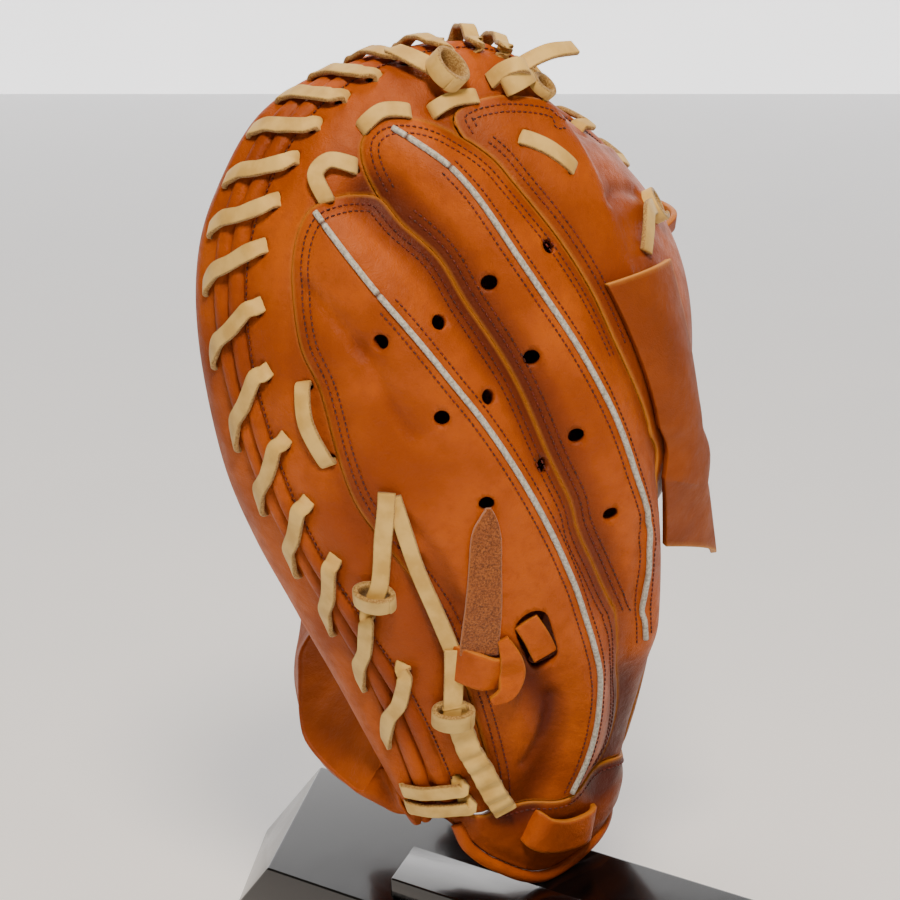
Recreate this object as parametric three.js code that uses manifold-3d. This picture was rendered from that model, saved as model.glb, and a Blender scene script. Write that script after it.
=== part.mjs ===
// Catcher's mitt for the left hand, standing on a plain glossy display stand.
// Millimetres, +Z up. The back of the mitt faces -Y, the pocket opens towards +Y,
// the thumb is on the +X side and the little finger on the -X side.
// The origin is on the underside of the stand, below the middle of the mitt.
import * as THREE from 'three';
import { mergeVertices } from 'three/addons/utils/BufferGeometryUtils.js';
import { ConvexGeometry } from 'three/addons/geometries/ConvexGeometry.js';
import Module from 'manifold-3d';

const wasm = await Module();
wasm.setup();

// Driving dimensions of the mitt
const mitt_width = 200;
const mitt_depth = 175;
const mitt_height = 318;
const back_wall = 2.5;
const lip_reach = 27;
const pad_thickness = 34;
const hand_space = 27;
const relief_depth = 3.5;
const relief_width = 16;
const heel_depth = 24;
const web_reach = 20;

// Welts, bindings, pipings and laces
const welt_radius = 3.8;
const binding_radius = 2.4;
const piping_radius = 1.4;
const lace_width = 5.8;
const lace_thickness = 2.0;
const vent_radius = 2.8;
const strap_width = 13;
const strap_thickness = 2.4;
const loop_width = 6.5;
const keeper_width = 14;
const keeper_rise = 3.0;
const flap_thickness = 2.6;
const tab_width = 13;

// Clearances
const seat_gap = 0.3;
const seam_gap = 0.3;
const welt_play = 0.7;
const groove_play = 0.9;
const welt_gap = 0.4;

// Stand
const stand_length = 230;
const stand_front = 20;
const stand_ridge = 37;
const ridge_reach = 65;
const stand_edge = -25;
const stand_middle = -30;
const stand_back = 110;
const end_skew = 30;
const end_cut = 11;
const front_toe = 17;
const back_toe = 32;
const shelf_rise = 8.4;
const shelf_length = 110;
const shelf_edge = -19;
const shelf_depth = 39;
const shelf_corner = 14;
const shelf_skew = 19;

// How finely the faceted solids are divided
const spokes_per_row = 2;
const back_rings = 6;
const curve_step = 14;
const seam_step = 20;
const piping_step = 9;

// The rim of the mitt, from the heel on the little-finger side up over the top, down the
// thumb side and back along the heel of the palm. Places and the direction in which the
// back swells away from the rim are shares of width, depth and height; the lip is a share
// of lip_reach and the body a share of pad_thickness.
const rim_rows = table(['across', 'deep', 'up', 'swell_x', 'swell_y', 'swell_z', 'lip', 'body'], [
  [-0.128, -0.097, 0.104, 0.040, -0.103, 0.013, 0.25, 0.55],
  [-0.225, -0.080, 0.248, 0.010, -0.137, 0.019, 0.67, 0.76],
  [-0.300, -0.023, 0.352, -0.015, -0.183, 0.013, 0.96, 0.94],
  [-0.360, 0.046, 0.447, -0.030, -0.229, 0.009, 1.00, 1.00],
  [-0.400, 0.103, 0.541, -0.030, -0.263, 0.006, 0.85, 1.00],
  [-0.420, 0.160, 0.660, -0.030, -0.274, 0.000, 0.63, 0.97],
  [-0.410, 0.183, 0.761, -0.025, -0.263, 0.006, 0.52, 0.88],
  [-0.375, 0.171, 0.840, -0.015, -0.240, 0.013, 0.44, 0.82],
  [-0.300, 0.137, 0.918, 0.000, -0.217, 0.016, 0.41, 0.76],
  [-0.190, 0.080, 0.965, 0.000, -0.194, 0.019, 0.41, 0.71],
  [-0.060, -0.006, 0.987, -0.015, -0.157, 0.013, 0.41, 0.71],
  [0.055, -0.075, 0.975, -0.050, -0.130, 0.008, 0.44, 0.71],
  [0.160, -0.088, 0.914, -0.125, -0.180, 0.020, 0.48, 0.71],
  [0.360, -0.063, 0.845, -0.140, -0.225, 0.010, 0.52, 0.76],
  [0.530, 0.000, 0.745, -0.090, -0.240, 0.005, 0.59, 0.82],
  [0.580, 0.183, 0.626, 0.010, -0.260, 0.000, 0.67, 0.88],
  [0.540, 0.354, 0.494, 0.065, -0.310, 0.006, 0.67, 0.88],
  [0.430, 0.480, 0.368, 0.110, -0.229, 0.006, 0.59, 0.82],
  [0.300, 0.549, 0.274, 0.170, -0.194, 0.006, 0.44, 0.71],
  [0.140, 0.545, 0.204, 0.150, -0.034, 0.000, 0.22, 0.53],
  [0.050, 0.470, 0.145, 0.130, -0.023, 0.019, 0.15, 0.41],
  [-0.025, 0.300, 0.090, 0.100, -0.011, 0.038, 0.15, 0.41],
  [-0.070, 0.060, 0.080, 0.060, -0.011, 0.044, 0.15, 0.41],
  [-0.095, -0.020, 0.080, 0.050, -0.075, 0.019, 0.15, 0.41],
]);

// The wrist edge of the back, which leaves the rim at its thumb end and meets it again at
// the little finger, so that the hand goes in between this edge and the heel of the palm.
const wrist_rows = table(['across', 'deep', 'up', 'swell_x', 'swell_y', 'swell_z'], [
  [0.330, 0.480, 0.204, 0.140, -0.160, 0.019],
  [0.380, 0.331, 0.148, 0.100, -0.103, 0.050],
  [0.390, 0.103, 0.097, 0.070, -0.080, 0.082],
  [0.330, -0.137, 0.063, 0.025, -0.034, 0.101],
  [0.225, -0.234, 0.035, 0.005, -0.023, 0.107],
  [0.075, -0.206, 0.000, 0.000, 0.011, 0.113],
  [-0.035, -0.165, 0.030, 0.040, -0.034, 0.082],
  [-0.105, -0.140, 0.072, 0.050, -0.069, 0.055],
]);
const rim_end = 18;

// Middles of the back, of the palm pad's hand side and of its pocket side
const back_middle = sized(0.130, -0.429, 0.525);
const middle_facing = new THREE.Vector3(0.25, -1, 0).normalize();
const palm_middle = back_middle.clone().addScaledVector(middle_facing, -hand_space - back_wall);
const pocket_middle = sized(0.050, -0.130, 0.490);
const middle_roundness = 0.6;

// Lines drawn on the back. The back is thought of as laid flat in a disc of radius one with
// its middle at the centre: across and up give a place on it, and the rim is the circle.
const ring_outline = table(['across', 'up'], [
  [0.806, -0.229], [0.800, -0.120], [0.765, 0.050], [0.698, 0.216], [0.648, 0.296], [0.607, 0.389],
  [0.571, 0.490], [0.530, 0.581], [0.456, 0.654], [0.347, 0.720], [0.281, 0.783], [0.169, 0.828],
  [0.083, 0.845], [0.004, 0.846], [-0.052, 0.829], [-0.086, 0.793], [-0.112, 0.745],
  [-0.120, 0.695], [-0.084, 0.638], [-0.049, 0.553], [0.015, 0.482], [0.093, 0.372],
  [0.164, 0.279], [0.209, 0.192], [0.246, 0.143], [0.262, 0.060], [0.245, -0.067],
  [0.265, -0.230], [0.320, -0.360], [0.400, -0.480], [0.470, -0.529],
]);
const middle_outline = table(['across', 'up'], [
  [-0.120, 0.695], [-0.160, 0.733], [-0.205, 0.758], [-0.250, 0.762], [-0.288, 0.743], [-0.312, 0.705],
  [-0.322, 0.660], [-0.322, 0.615], [-0.310, 0.560], [-0.298, 0.522], [-0.280, 0.485], [-0.254, 0.448],
  [-0.228, 0.404], [-0.190, 0.333], [-0.145, 0.256], [-0.088, 0.168], [-0.048, 0.055],
  [-0.015, -0.075], [0.040, -0.190], [0.130, -0.320], [0.230, -0.450], [0.330, -0.580],
  [0.375, -0.700],
]);
const index_outline = table(['across', 'up'], [
  [-1.035, 0.120], [-0.900, 0.150], [-0.780, 0.215], [-0.640, 0.330], [-0.535, 0.438], [-0.475, 0.512],
  [-0.432, 0.558], [-0.398, 0.582], [-0.363, 0.590], [-0.337, 0.581], [-0.310, 0.560],
]);
const thumb_outline = table(['across', 'up'], [
  [-1.040, -0.250], [-0.760, -0.250], [-0.480, -0.310], [-0.200, -0.430], [0.060, -0.620],
  [0.250, -0.820],
]);
const band_outline = table(['across', 'up'], [
  [1.040, -0.090], [0.900, -0.165], [0.806, -0.229], [0.709, -0.320], [0.611, -0.381],
  [0.530, -0.440], [0.470, -0.529], [0.420, -0.620], [0.375, -0.700], [0.250, -0.820],
  [0.060, -0.920], [-0.130, -1.040],
]);
const ring_piping = table(['across', 'up'], [
  [-0.045, 0.815], [0.041, 0.711], [0.100, 0.629], [0.162, 0.509], [0.199, 0.420], [0.241, 0.321],
  [0.289, 0.220], [0.330, 0.122], [0.359, 0.035], [0.352, -0.120], [0.400, -0.260],
  [0.470, -0.350], [0.530, -0.410],
]);
const middle_piping = table(['across', 'up'], [
  [-0.275, 0.705], [-0.248, 0.645], [-0.220, 0.580], [-0.186, 0.526], [-0.151, 0.480], [-0.117, 0.436],
  [-0.087, 0.390], [-0.063, 0.348], [-0.042, 0.306], [-0.018, 0.260], [0.012, 0.208], [0.045, 0.155],
  [0.073, 0.103], [0.097, 0.045], [0.107, -0.020], [0.110, -0.105], [0.115, -0.180], [0.145, -0.250],
]);
const ring_fold = table(['across', 'up'], [
  [0.560, 0.120], [0.520, 0.020], [0.540, -0.120], [0.600, -0.240], [0.680, -0.330],
]);

// Valleys along the seams and humps along the pipings, in shares of relief_width and
// relief_depth; a valley is negative. They fade out near the rim.
const ring_top = 17;
const middle_side = 3;
const reliefs = table(['line', 'width', 'height'], [
  [ring_outline.slice(ring_top), 0.8, -1.6],
  [ring_outline.slice(0, ring_top), 0.56, -0.5],
  [middle_outline.slice(middle_side), 0.7, -0.7],
  [index_outline, 0.56, -0.3],
  [ring_piping, 1.0, 1.0],
  [middle_piping, 0.88, 1.0],
  [ring_fold, 0.56, -0.8],
]);
const relief_ends = 0.9;
const relief_fade = 0.08;

const panels = table(['name', 'across', 'up'], [
  ['rim_panel', 0.300, 0.900],
  ['ring_finger_stall', 0.300, 0.500],
  ['middle_finger_stall', 0.000, 0.350],
  ['index_panel', -0.500, 0.150],
  ['thumb_panel', -0.400, -0.700],
  ['wrist_band', 0.700, -0.550],
]);

const vents = table(['across', 'up'], [
  [0.177, 0.625], [0.240, 0.488], [0.326, 0.362], [0.079, 0.532], [0.154, 0.417],
  [0.190, 0.283], [-0.047, 0.459], [0.039, 0.353], [0.107, 0.234], [0.169, 0.100],
  [-0.165, 0.361],
]);

// Flap over the forefinger: where its sewn edge lies on the back, and how far its free
// edge reaches from there, in shares of width, depth and height
const flap_rows = table(['across', 'up', 'reach_x', 'reach_y', 'reach_z'], [
  [-0.167, 0.235, 0.214, 0.023, 0.006],
  [-0.115, 0.150, 0.205, 0.034, -0.020],
  [-0.070, 0.060, 0.186, 0.040, -0.028],
  [-0.035, -0.040, 0.180, 0.040, -0.033],
  [0.005, -0.150, 0.176, 0.030, -0.039],
]);
const flap_arch = 5;
const flap_face = [0.06, -1, 0.05];

// Rim laces: the place of the hole along the rim rows, and how many rows the lace leans
const stitches = table(['hole', 'lean'], [
  [1.40, -0.73], [2.10, -0.85], [2.80, -0.85], [3.55, -0.85], [4.25, -0.75], [4.90, -0.68],
  [5.60, -0.62], [6.35, -0.62], [7.00, -0.60], [7.55, -0.48], [8.05, -0.36], [8.55, -0.34],
  [9.05, -0.36], [9.52, -0.36], [10.02, -0.30], [10.80, 0.10], [11.30, 0.12], [12.35, 0.20],
  [13.00, 0.22], [13.60, 0.15], [14.90, 0.40], [15.50, 0.45], [16.10, 0.45], [16.90, 0.45],
]);
const stitch_hole = 17;
const stitch_dive = 9.6;

// Short laces that cross the back: a row for each bend, across, up and its lift off the
// leather as a share of lace_thickness
const accent_rows = {
  accent_lace_top: [[-0.275, 0.768, 0.0], [-0.315, 0.738, 0.8], [-0.335, 0.690, 0.0]],
  accent_lace_crown: [[-0.365, 0.632, 0.0], [-0.403, 0.604, 0.9], [-0.438, 0.566, 0.0]],
  accent_lace_rim: [[-0.172, 0.770, 0.0], [-0.168, 0.818, 1.0], [-0.130, 0.838, 1.0], [-0.085, 0.805, 0.0]],
  accent_lace_side: [[0.365, 0.758, 0.0], [0.425, 0.732, 1.0], [0.478, 0.680, 0.0]],
  accent_lace_index: [[-0.370, 0.448, 0.0], [-0.374, 0.395, 0.45], [-0.374, 0.334, 0.0]],
};

// Knots: bands of lace that are fused where they cross, with rows of the same kind
const knot_rows = {
  knot_crown: [
    [
      [-0.545, 0.850, 2.0], [-0.535, 0.790, 3.0], [-0.505, 0.715, 3.0], [-0.485, 0.663, 2.25],
      [-0.470, 0.630, 0.5],
    ],
    [
      [-0.520, 0.585, 0.5], [-0.545, 0.640, 2.5], [-0.505, 0.690, 3.5], [-0.450, 0.680, 2.5],
      [-0.430, 0.640, 0.5],
    ],
  ],
  knot_web_side: [
    [[-0.490, 0.540, -0.1], [-0.545, 0.500, 1.75], [-0.610, 0.455, 2.5], [-0.670, 0.410, 0.0]],
    [
      [-0.535, 0.540, -0.1], [-0.580, 0.515, 2.25], [-0.640, 0.465, 4.0], [-0.700, 0.420, 6.0],
      [-0.740, 0.380, 9.0],
    ],
  ],
  knot_thumb_side: [
    [[-0.640, 0.130, 1.5], [-0.560, 0.115, 2.5], [-0.480, 0.110, 1.5], [-0.395, 0.112, 0.0]],
    [[-0.560, 0.175, 0.0], [-0.620, 0.145, 2.5], [-0.645, 0.085, 2.5], [-0.600, 0.050, 0.0]],
  ],
  knot_little_finger: [
    [
      [0.430, 0.545, 3.5], [0.500, 0.515, 2.0], [0.600, 0.480, 1.0], [0.680, 0.450, 1.25],
      [0.700, 0.400, 1.0],
    ],
    [
      [0.745, 0.490, 0.75], [0.730, 0.430, 2.25], [0.680, 0.405, 2.25], [0.630, 0.430, 2.25],
      [0.615, 0.480, 0.75],
    ],
  ],
  heel_lace: [
    [
      [0.440, 0.525, 0.5], [0.510, 0.460, 0.5], [0.570, 0.400, 0.75], [0.630, 0.320, 0.6],
      [0.690, 0.225, 0.6],
    ],
  ],
  knot_heel: [
    [
      [0.700, 0.205, 0.75], [0.730, 0.160, 1.5], [0.775, 0.080, 2.25], [0.790, -0.020, 2.5],
      [0.765, -0.160, 2.0], [0.735, -0.290, 1.5],
    ],
    [[0.820, 0.190, 0.75], [0.805, 0.130, 2.5], [0.760, 0.105, 3.0], [0.715, 0.120, 0.75]],
  ],
};

// Bands of lace straight over the heel end of the welts
const wraps = table(['hole', 'lean'], [[0.09, 0], [0.28, 0]]);

// Strap, strap loop, slot tab and keeper on the back. The loop's lift is a share of
// strap_thickness, the keeper's a share of keeper_rise.
const strap_rows = table(['across', 'up', 'share'], [
  [0.330, 0.356, 0.12], [0.350, 0.345, 0.85], [0.406, 0.318, 0.95], [0.496, 0.270, 1.05],
  [0.570, 0.226, 1.10],
]);
const loop_rows = table(['across', 'up', 'lift'], [
  [0.615, 0.240, 0.0], [0.640, 0.208, 0.85], [0.650, 0.165, 1.1], [0.628, 0.128, 0.85], [0.580, 0.118, 0.0],
]);
const tab_rows = table(['across', 'up', 'lift'], [
  [0.460, 0.168, 0.0], [0.455, 0.118, 0.0], [0.478, 0.068, 0.0],
]);
const keeper_rows = table(['across', 'up', 'lift'], [
  [0.700, -0.425, 0.0], [0.680, -0.460, 1.0], [0.640, -0.535, 1.0], [0.610, -0.610, 1.0],
  [0.600, -0.650, 0.0],
]);

// Leather loop and lace of the web, beyond the top of the index panel: a place on the rim
// and the way back and out from it in shares of web_reach
const web_loop_rows = table(['place', 'back', 'out'], [
  [13.82, 1.05, -0.10], [13.92, 0.80, 0.60], [14.05, 0.20, 0.90], [14.15, -0.45, 0.70], [14.20, -0.70, 0.20],
]);
const web_lace_rows = table(['place', 'back', 'out'], [
  [14.38, 0.75, 0.10], [14.43, 0.65, 0.90], [14.52, 0.05, 1.20], [14.60, -0.45, 0.80], [14.64, -0.65, 0.20],
]);

// Colours and finishes
const leather = new THREE.MeshStandardMaterial({ color: 0xc06a28, roughness: 0.55, metalness: 0 });
const palm_leather = new THREE.MeshStandardMaterial({ color: 0xb8642a, roughness: 0.58, metalness: 0 });
const suede = new THREE.MeshStandardMaterial({ color: 0xa5632f, roughness: 0.9, metalness: 0 });
const lace_leather = new THREE.MeshStandardMaterial({ color: 0xd8bc86, roughness: 0.65, metalness: 0 });
const piping_cloth = new THREE.MeshStandardMaterial({ color: 0xbdb8ae, roughness: 0.8, metalness: 0 });
const stand_gloss = new THREE.MeshStandardMaterial({ color: 0x0d0e11, roughness: 0.12, metalness: 0 });

function table(columns, rows) {
  return rows.map((row) => Object.fromEntries(columns.map((name, k) => [name, row[k]])));
}

function sized(across, deep, up) {
  return new THREE.Vector3(across * mitt_width, deep * mitt_depth, up * mitt_height);
}

// A smooth curve through a list of number rows, at a place counted in rows
function along_rows(rows, place, closed) {
  const last = rows.length - 1;
  const wrapped = (k) => (k + 2 * rows.length) % rows.length;
  const pick = (k) => rows[closed ? wrapped(k) : Math.min(Math.max(k, 0), last)];
  const first = closed ? Math.floor(place) : Math.min(Math.floor(place), last - 1);
  const f = place - first;
  const [a, b, c, d] = [pick(first - 1), pick(first), pick(first + 1), pick(first + 2)];
  return b.map((value, k) => 0.5 * (2 * value + (c[k] - a[k]) * f
    + (2 * a[k] - 5 * value + 4 * c[k] - d[k]) * f * f + (3 * value - a[k] - 3 * c[k] + d[k]) * f ** 3));
}

function smooth_step(low, high, value) {
  return THREE.MathUtils.smoothstep(value, low, high);
}

const rim_numbers = rim_rows.map((r) => [
  ...sized(r.across, r.deep, r.up).toArray(), ...sized(r.swell_x, r.swell_y, r.swell_z).toArray(),
  r.lip * lip_reach, r.body * pad_thickness]);
const edge_numbers = [
  ...rim_numbers.slice(0, rim_end + 1).map((row) => row.slice(0, 6)),
  ...wrist_rows.map((r) => [
    ...sized(r.across, r.deep, r.up).toArray(), ...sized(r.swell_x, r.swell_y, r.swell_z).toArray()])];

// Point, swell and the three directions at a place along a closed loop of rows
function frame_at(rows, place) {
  const row = along_rows(rows, place, true);
  const after = new THREE.Vector3(...along_rows(rows, place + 0.05, true));
  const before = new THREE.Vector3(...along_rows(rows, place - 0.05, true));
  const onward = after.sub(before).normalize();
  const swell = new THREE.Vector3(...row.slice(3, 6));
  const back = swell.clone().addScaledVector(onward, -swell.dot(onward)).normalize();
  const out = back.clone().cross(onward);
  return { point: new THREE.Vector3(...row), swell, onward, back, out, row };
}

function from_frame(f, back, out) {
  return f.point.clone().addScaledVector(f.back, back).addScaledVector(f.out, out);
}

// Rows over which the laced rim turns into the open heel or wrist edge
const corner = 1.4;

// One for a place on the laced rim, nothing along the open heel or wrist edge
function laced(place, rows) {
  return 1 - smooth_step(rim_end, rim_end + corner, place) + smooth_step(rows - corner, rows, place);
}

// Smooth back of the mitt at a place along its edge and a share of the way out from the middle
const welt_seat = 2 * welt_radius + welt_play;
const edge_rise = 1.5;
function bare_back(place, share) {
  const f = frame_at(place < 1 ? rim_numbers : edge_numbers, place);
  const hold = laced(place, edge_numbers.length);
  const edge = from_frame(f, welt_seat * hold, edge_rise * hold);
  const reach = edge.clone().sub(back_middle);
  const level = reach.clone().addScaledVector(middle_facing, -reach.dot(middle_facing));
  const lead = back_middle.clone().addScaledVector(level, middle_roundness);
  const curve = new THREE.CubicBezierCurve3(back_middle, lead, f.point.clone().add(f.swell), edge);
  const spare = Math.max(share - 1, 0);
  const tip = curve.getPoint(Math.min(share, 1));
  return spare > 0 ? tip.addScaledVector(curve.getTangent(1), spare * reach.length()) : tip;
}

function bare_flat(across, up) {
  const turns = (Math.atan2(up, across) / (2 * Math.PI) + 1) % 1;
  return bare_back(turns * edge_numbers.length, Math.hypot(across, up));
}

function flat_spot(place, share) {
  const angle = place / edge_numbers.length * 2 * Math.PI;
  return [Math.cos(angle) * share, Math.sin(angle) * share];
}

// Direction straight off the leather of the back
const normal_step = 0.012;
function off_back(across, up) {
  const size = Math.hypot(across, up);
  const pull = size > 1 - normal_step ? (1 - normal_step) / size : 1;
  const [x, y] = [across * pull, up * pull];
  const sideways = bare_flat(x + normal_step, y).sub(bare_flat(x - normal_step, y));
  const upwards = bare_flat(x, y + normal_step).sub(bare_flat(x, y - normal_step));
  return upwards.cross(sideways).normalize();
}

// A line of table rows as evenly spread places on the flat disc
function spread(rows, columns, step) {
  const numbers = rows.map((row) => columns.map((name) => row[name]));
  const lengths = numbers.slice(1).map((row, k) => bare_flat(...row).distanceTo(bare_flat(...numbers[k])));
  const places = [];
  lengths.forEach((length, k) => {
    const count = Math.max(1, Math.round(length / step));
    for (let i = 0; i < count; i += 1) places.push(k + i / count);
  });
  places.push(numbers.length - 1);
  return places.map((place) => along_rows(numbers, place, false));
}

const relief_lines = reliefs.map((relief) => ({
  width: relief.width * relief_width,
  height: relief.height * relief_depth,
  points: spread(relief.line, ['across', 'up'], curve_step).map((spot) => bare_flat(...spot)),
}));

function distance_to(points, spot) {
  let best = Infinity;
  const span = new THREE.Line3();
  const near = new THREE.Vector3();
  for (let k = 1; k < points.length; k += 1) {
    span.set(points[k - 1], points[k]).closestPointToPoint(spot, true, near);
    best = Math.min(best, near.distanceToSquared(spot));
  }
  return Math.sqrt(best);
}

function relief_at(spot, share) {
  const fade = 1 - smooth_step(relief_ends - relief_fade, relief_ends, share);
  return fade * relief_lines.reduce(
    (sum, line) => sum + line.height * Math.exp(-((distance_to(line.points, spot) / line.width) ** 2)), 0);
}

// Leather of the back with its valleys and humps, lifted off it or sunk below it
function on_back(across, up, lift) {
  const spot = bare_flat(across, up);
  const rise = relief_at(spot, Math.hypot(across, up)) + lift;
  return spot.addScaledVector(off_back(across, up), rise);
}

// Geometry from corners and triangles, turned to face outwards
function body(corners, faces) {
  const volume = faces.reduce((sum, [a, b, c]) => sum
    + corners[a].dot(corners[b].clone().cross(corners[c])), 0);
  const geometry = new THREE.BufferGeometry();
  geometry.setAttribute('position', new THREE.Float32BufferAttribute(corners.flatMap((p) => p.toArray()), 3));
  geometry.setIndex(faces.flatMap(([a, b, c]) => (volume < 0 ? [a, c, b] : [a, b, c])));
  return geometry;
}

// Two triangles for a four-cornered patch, split from its first corner or from its second
function patch(faces, [a, b, c, d], from_first) {
  faces.push(...(from_first ? [[a, b, c], [a, c, d]] : [[a, b, d], [b, c, d]]));
}

// Closed skin of spokes that share their first and their last point. The far half is split
// the other way, so that the two sides of a thin wall stay side by side.
function spoked(spokes) {
  const rings = spokes[0].length - 2;
  const corners = [spokes[0][0], spokes[0][rings + 1]];
  spokes.forEach((spoke) => corners.push(...spoke.slice(1, -1)));
  const at = (s, r) => 2 + (s % spokes.length) * rings + r;
  const faces = [];
  for (let s = 0; s < spokes.length; s += 1) {
    faces.push([0, at(s + 1, 0), at(s, 0)], [1, at(s, rings - 1), at(s + 1, rings - 1)]);
    for (let r = 0; r < rings - 1; r += 1) {
      patch(faces, [at(s, r), at(s + 1, r), at(s + 1, r + 1), at(s, r + 1)], r < rings / 2);
    }
  }
  return body(corners, faces);
}

// Closed rod: a convex section, [across, up], at each point of a path. An upright rod keeps
// its sections along the normals where the path climbs or falls.
function rod(points, normals, section_at, upright = false) {
  const corners = [];
  const faces = [];
  const size = section_at(0).length;
  points.forEach((point, k) => {
    const ahead = points[Math.min(k + 1, points.length - 1)];
    const behind = points[Math.max(k - 1, 0)];
    const onward = ahead.clone().sub(behind).normalize();
    const side = onward.clone().cross(normals[k]).normalize();
    const top = upright ? normals[k] : side.clone().cross(onward);
    section_at(k).forEach(([across, up]) => {
      corners.push(point.clone().addScaledVector(side, across).addScaledVector(top, up));
    });
  });
  const at = (k, c) => k * size + (c % size);
  for (let k = 0; k < points.length - 1; k += 1) {
    for (let c = 0; c < size; c += 1) {
      patch(faces, [at(k, c), at(k, c + 1), at(k + 1, c + 1), at(k + 1, c)], c < size / 2);
    }
  }
  for (let c = 1; c < size - 1; c += 1) {
    faces.push([at(0, 0), at(0, c + 1), at(0, c)]);
    faces.push([at(points.length - 1, 0), at(points.length - 1, c), at(points.length - 1, c + 1)]);
  }
  return body(corners, faces);
}

function flat_section(width, thickness) {
  const [w, t] = [width / 2, thickness / 2];
  return [[-w, -t], [w, -t], [w, t], [-w, t]];
}

function round_section(radius, sides) {
  const turns = Array.from({ length: sides }, (_, k) => (k + 0.5) / sides * 2 * Math.PI);
  return turns.map((turn) => [radius * Math.cos(turn), radius * Math.sin(turn)]);
}

function solid(geometry) {
  const merged = geometry.index ? geometry : mergeVertices(geometry);
  return new wasm.Manifold(new wasm.Mesh({
    numProp: 3,
    vertProperties: new Float32Array(merged.attributes.position.array),
    triVerts: new Uint32Array(merged.index.array),
  }));
}

// A three.js geometry that keeps only its places, so that its shared corners are one
function plain(geometry) {
  const bare = geometry.clone();
  bare.deleteAttribute('normal');
  bare.deleteAttribute('uv');
  return mergeVertices(bare);
}

function geometry_of(shape) {
  const mesh = shape.getMesh();
  const geometry = new THREE.BufferGeometry();
  geometry.setAttribute('position', new THREE.BufferAttribute(new Float32Array(mesh.vertProperties), 3));
  geometry.setIndex(Array.from(mesh.triVerts));
  return geometry;
}

// The separate bodies of a shape, each as a geometry of its own
function bodies_of(shape) {
  const geometry = geometry_of(shape);
  const index = geometry.index.array;
  const leader = Array.from({ length: geometry.attributes.position.count }, (_, k) => k);
  const find = (k) => {
    let top = k;
    while (leader[top] !== top) top = leader[top];
    leader[k] = top;
    return top;
  };
  for (let k = 0; k < index.length; k += 3) {
    leader[find(index[k + 1])] = find(index[k]);
    leader[find(index[k + 2])] = find(index[k]);
  }
  const groups = new Map();
  for (let k = 0; k < index.length; k += 3) {
    const key = find(index[k]);
    if (!groups.has(key)) groups.set(key, []);
    groups.get(key).push([index[k], index[k + 1], index[k + 2]]);
  }
  const spot = (k) => new THREE.Vector3().fromBufferAttribute(geometry.attributes.position, k);
  return [...groups.values()].map((faces) => {
    const used = [...new Set(faces.flat())];
    const renamed = new Map(used.map((k, n) => [k, n]));
    return body(used.map(spot), faces.map((face) => face.map((k) => renamed.get(k))));
  });
}

// The back: one wall from its middle out to its edge, then cut along the seams
function spoke_places(rows) {
  return Array.from({ length: rows.length * spokes_per_row }, (_, k) => k / spokes_per_row);
}

const contact_shares = [1, 0.95, 0.89];
function back_shares() {
  const inner = contact_shares.at(-1);
  const open = Array.from({ length: back_rings }, (_, k) => inner * (k + 1) / (back_rings + 1));
  return [...open, ...contact_shares.slice().reverse()];
}

function back_skin(over, under) {
  const shares = back_shares();
  return spoked(spoke_places(edge_numbers).map((place) => {
    const spots = shares.map((share) => flat_spot(place, share));
    return [
      on_back(0, 0, over),
      ...spots.map((spot) => on_back(...spot, over)),
      ...spots.slice().reverse().map((spot) => on_back(...spot, -under)),
      on_back(0, 0, -under)];
  }));
}

const back_geometry = back_skin(0, back_wall);
const back_clearance = solid(back_skin(seat_gap, back_wall + seat_gap));
const back_mesh = new THREE.Mesh(back_geometry, new THREE.MeshBasicMaterial({ side: THREE.DoubleSide }));
back_mesh.updateMatrixWorld();

// Height of the faceted back at a place, so that what lies on it is seated on its facets
const seat_search = 30;
const seat_ray = new THREE.Raycaster();
function seat(across, up, lift) {
  const off = off_back(across, up);
  const start = on_back(across, up, seat_search);
  seat_ray.set(start, off.clone().negate());
  const [hit] = seat_ray.intersectObject(back_mesh);
  const ground = hit && hit.distance < 2 * seat_search ? hit.point : on_back(across, up, 0);
  return { point: ground.clone().addScaledVector(off, lift), off };
}

// Thin fence along a seam. It runs on a little past both ends, so that it meets the next seam.
const seam_depth = 6;
const seam_overrun = 1.5;
function seam_cutter(rows) {
  const seats = spread(rows, ['across', 'up'], seam_step).map((spot) => seat(...spot, 0));
  const points = seats.map((s) => s.point);
  const stretch = (end, next) => end.add(end.clone().sub(next).setLength(seam_overrun));
  stretch(points[0], points[1]);
  stretch(points.at(-1), points.at(-2));
  return solid(rod(points, seats.map((s) => s.off), () => flat_section(seam_gap, 2 * seam_depth), true));
}

function vent_cutter(vent) {
  const { point, off } = seat(vent.across, vent.up, 0);
  const drill = plain(new THREE.CylinderGeometry(vent_radius, vent_radius, 2 * seam_depth, 6));
  drill.applyQuaternion(new THREE.Quaternion().setFromUnitVectors(new THREE.Vector3(0, 1, 0), off));
  drill.translate(point.x, point.y, point.z);
  return solid(drill);
}

function cut_panels() {
  const seams = [ring_outline, middle_outline, index_outline, thumb_outline, band_outline];
  let shape = solid(back_geometry);
  seams.forEach((rows) => { shape = shape.subtract(seam_cutter(rows)); });
  vents.forEach((vent) => { shape = shape.subtract(vent_cutter(vent)); });
  const pieces = bodies_of(shape);
  return panels.map((panel) => {
    const mark = seat(panel.across, panel.up, 0).point;
    const gap_to = (geometry) => {
      const places = geometry.attributes.position;
      let best = Infinity;
      for (let k = 0; k < places.count; k += 1) {
        best = Math.min(best, mark.distanceTo(new THREE.Vector3().fromBufferAttribute(places, k)));
      }
      return best;
    };
    return { name: panel.name, geometry: pieces.reduce((a, b) => (gap_to(b) < gap_to(a) ? b : a)) };
  });
}

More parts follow.
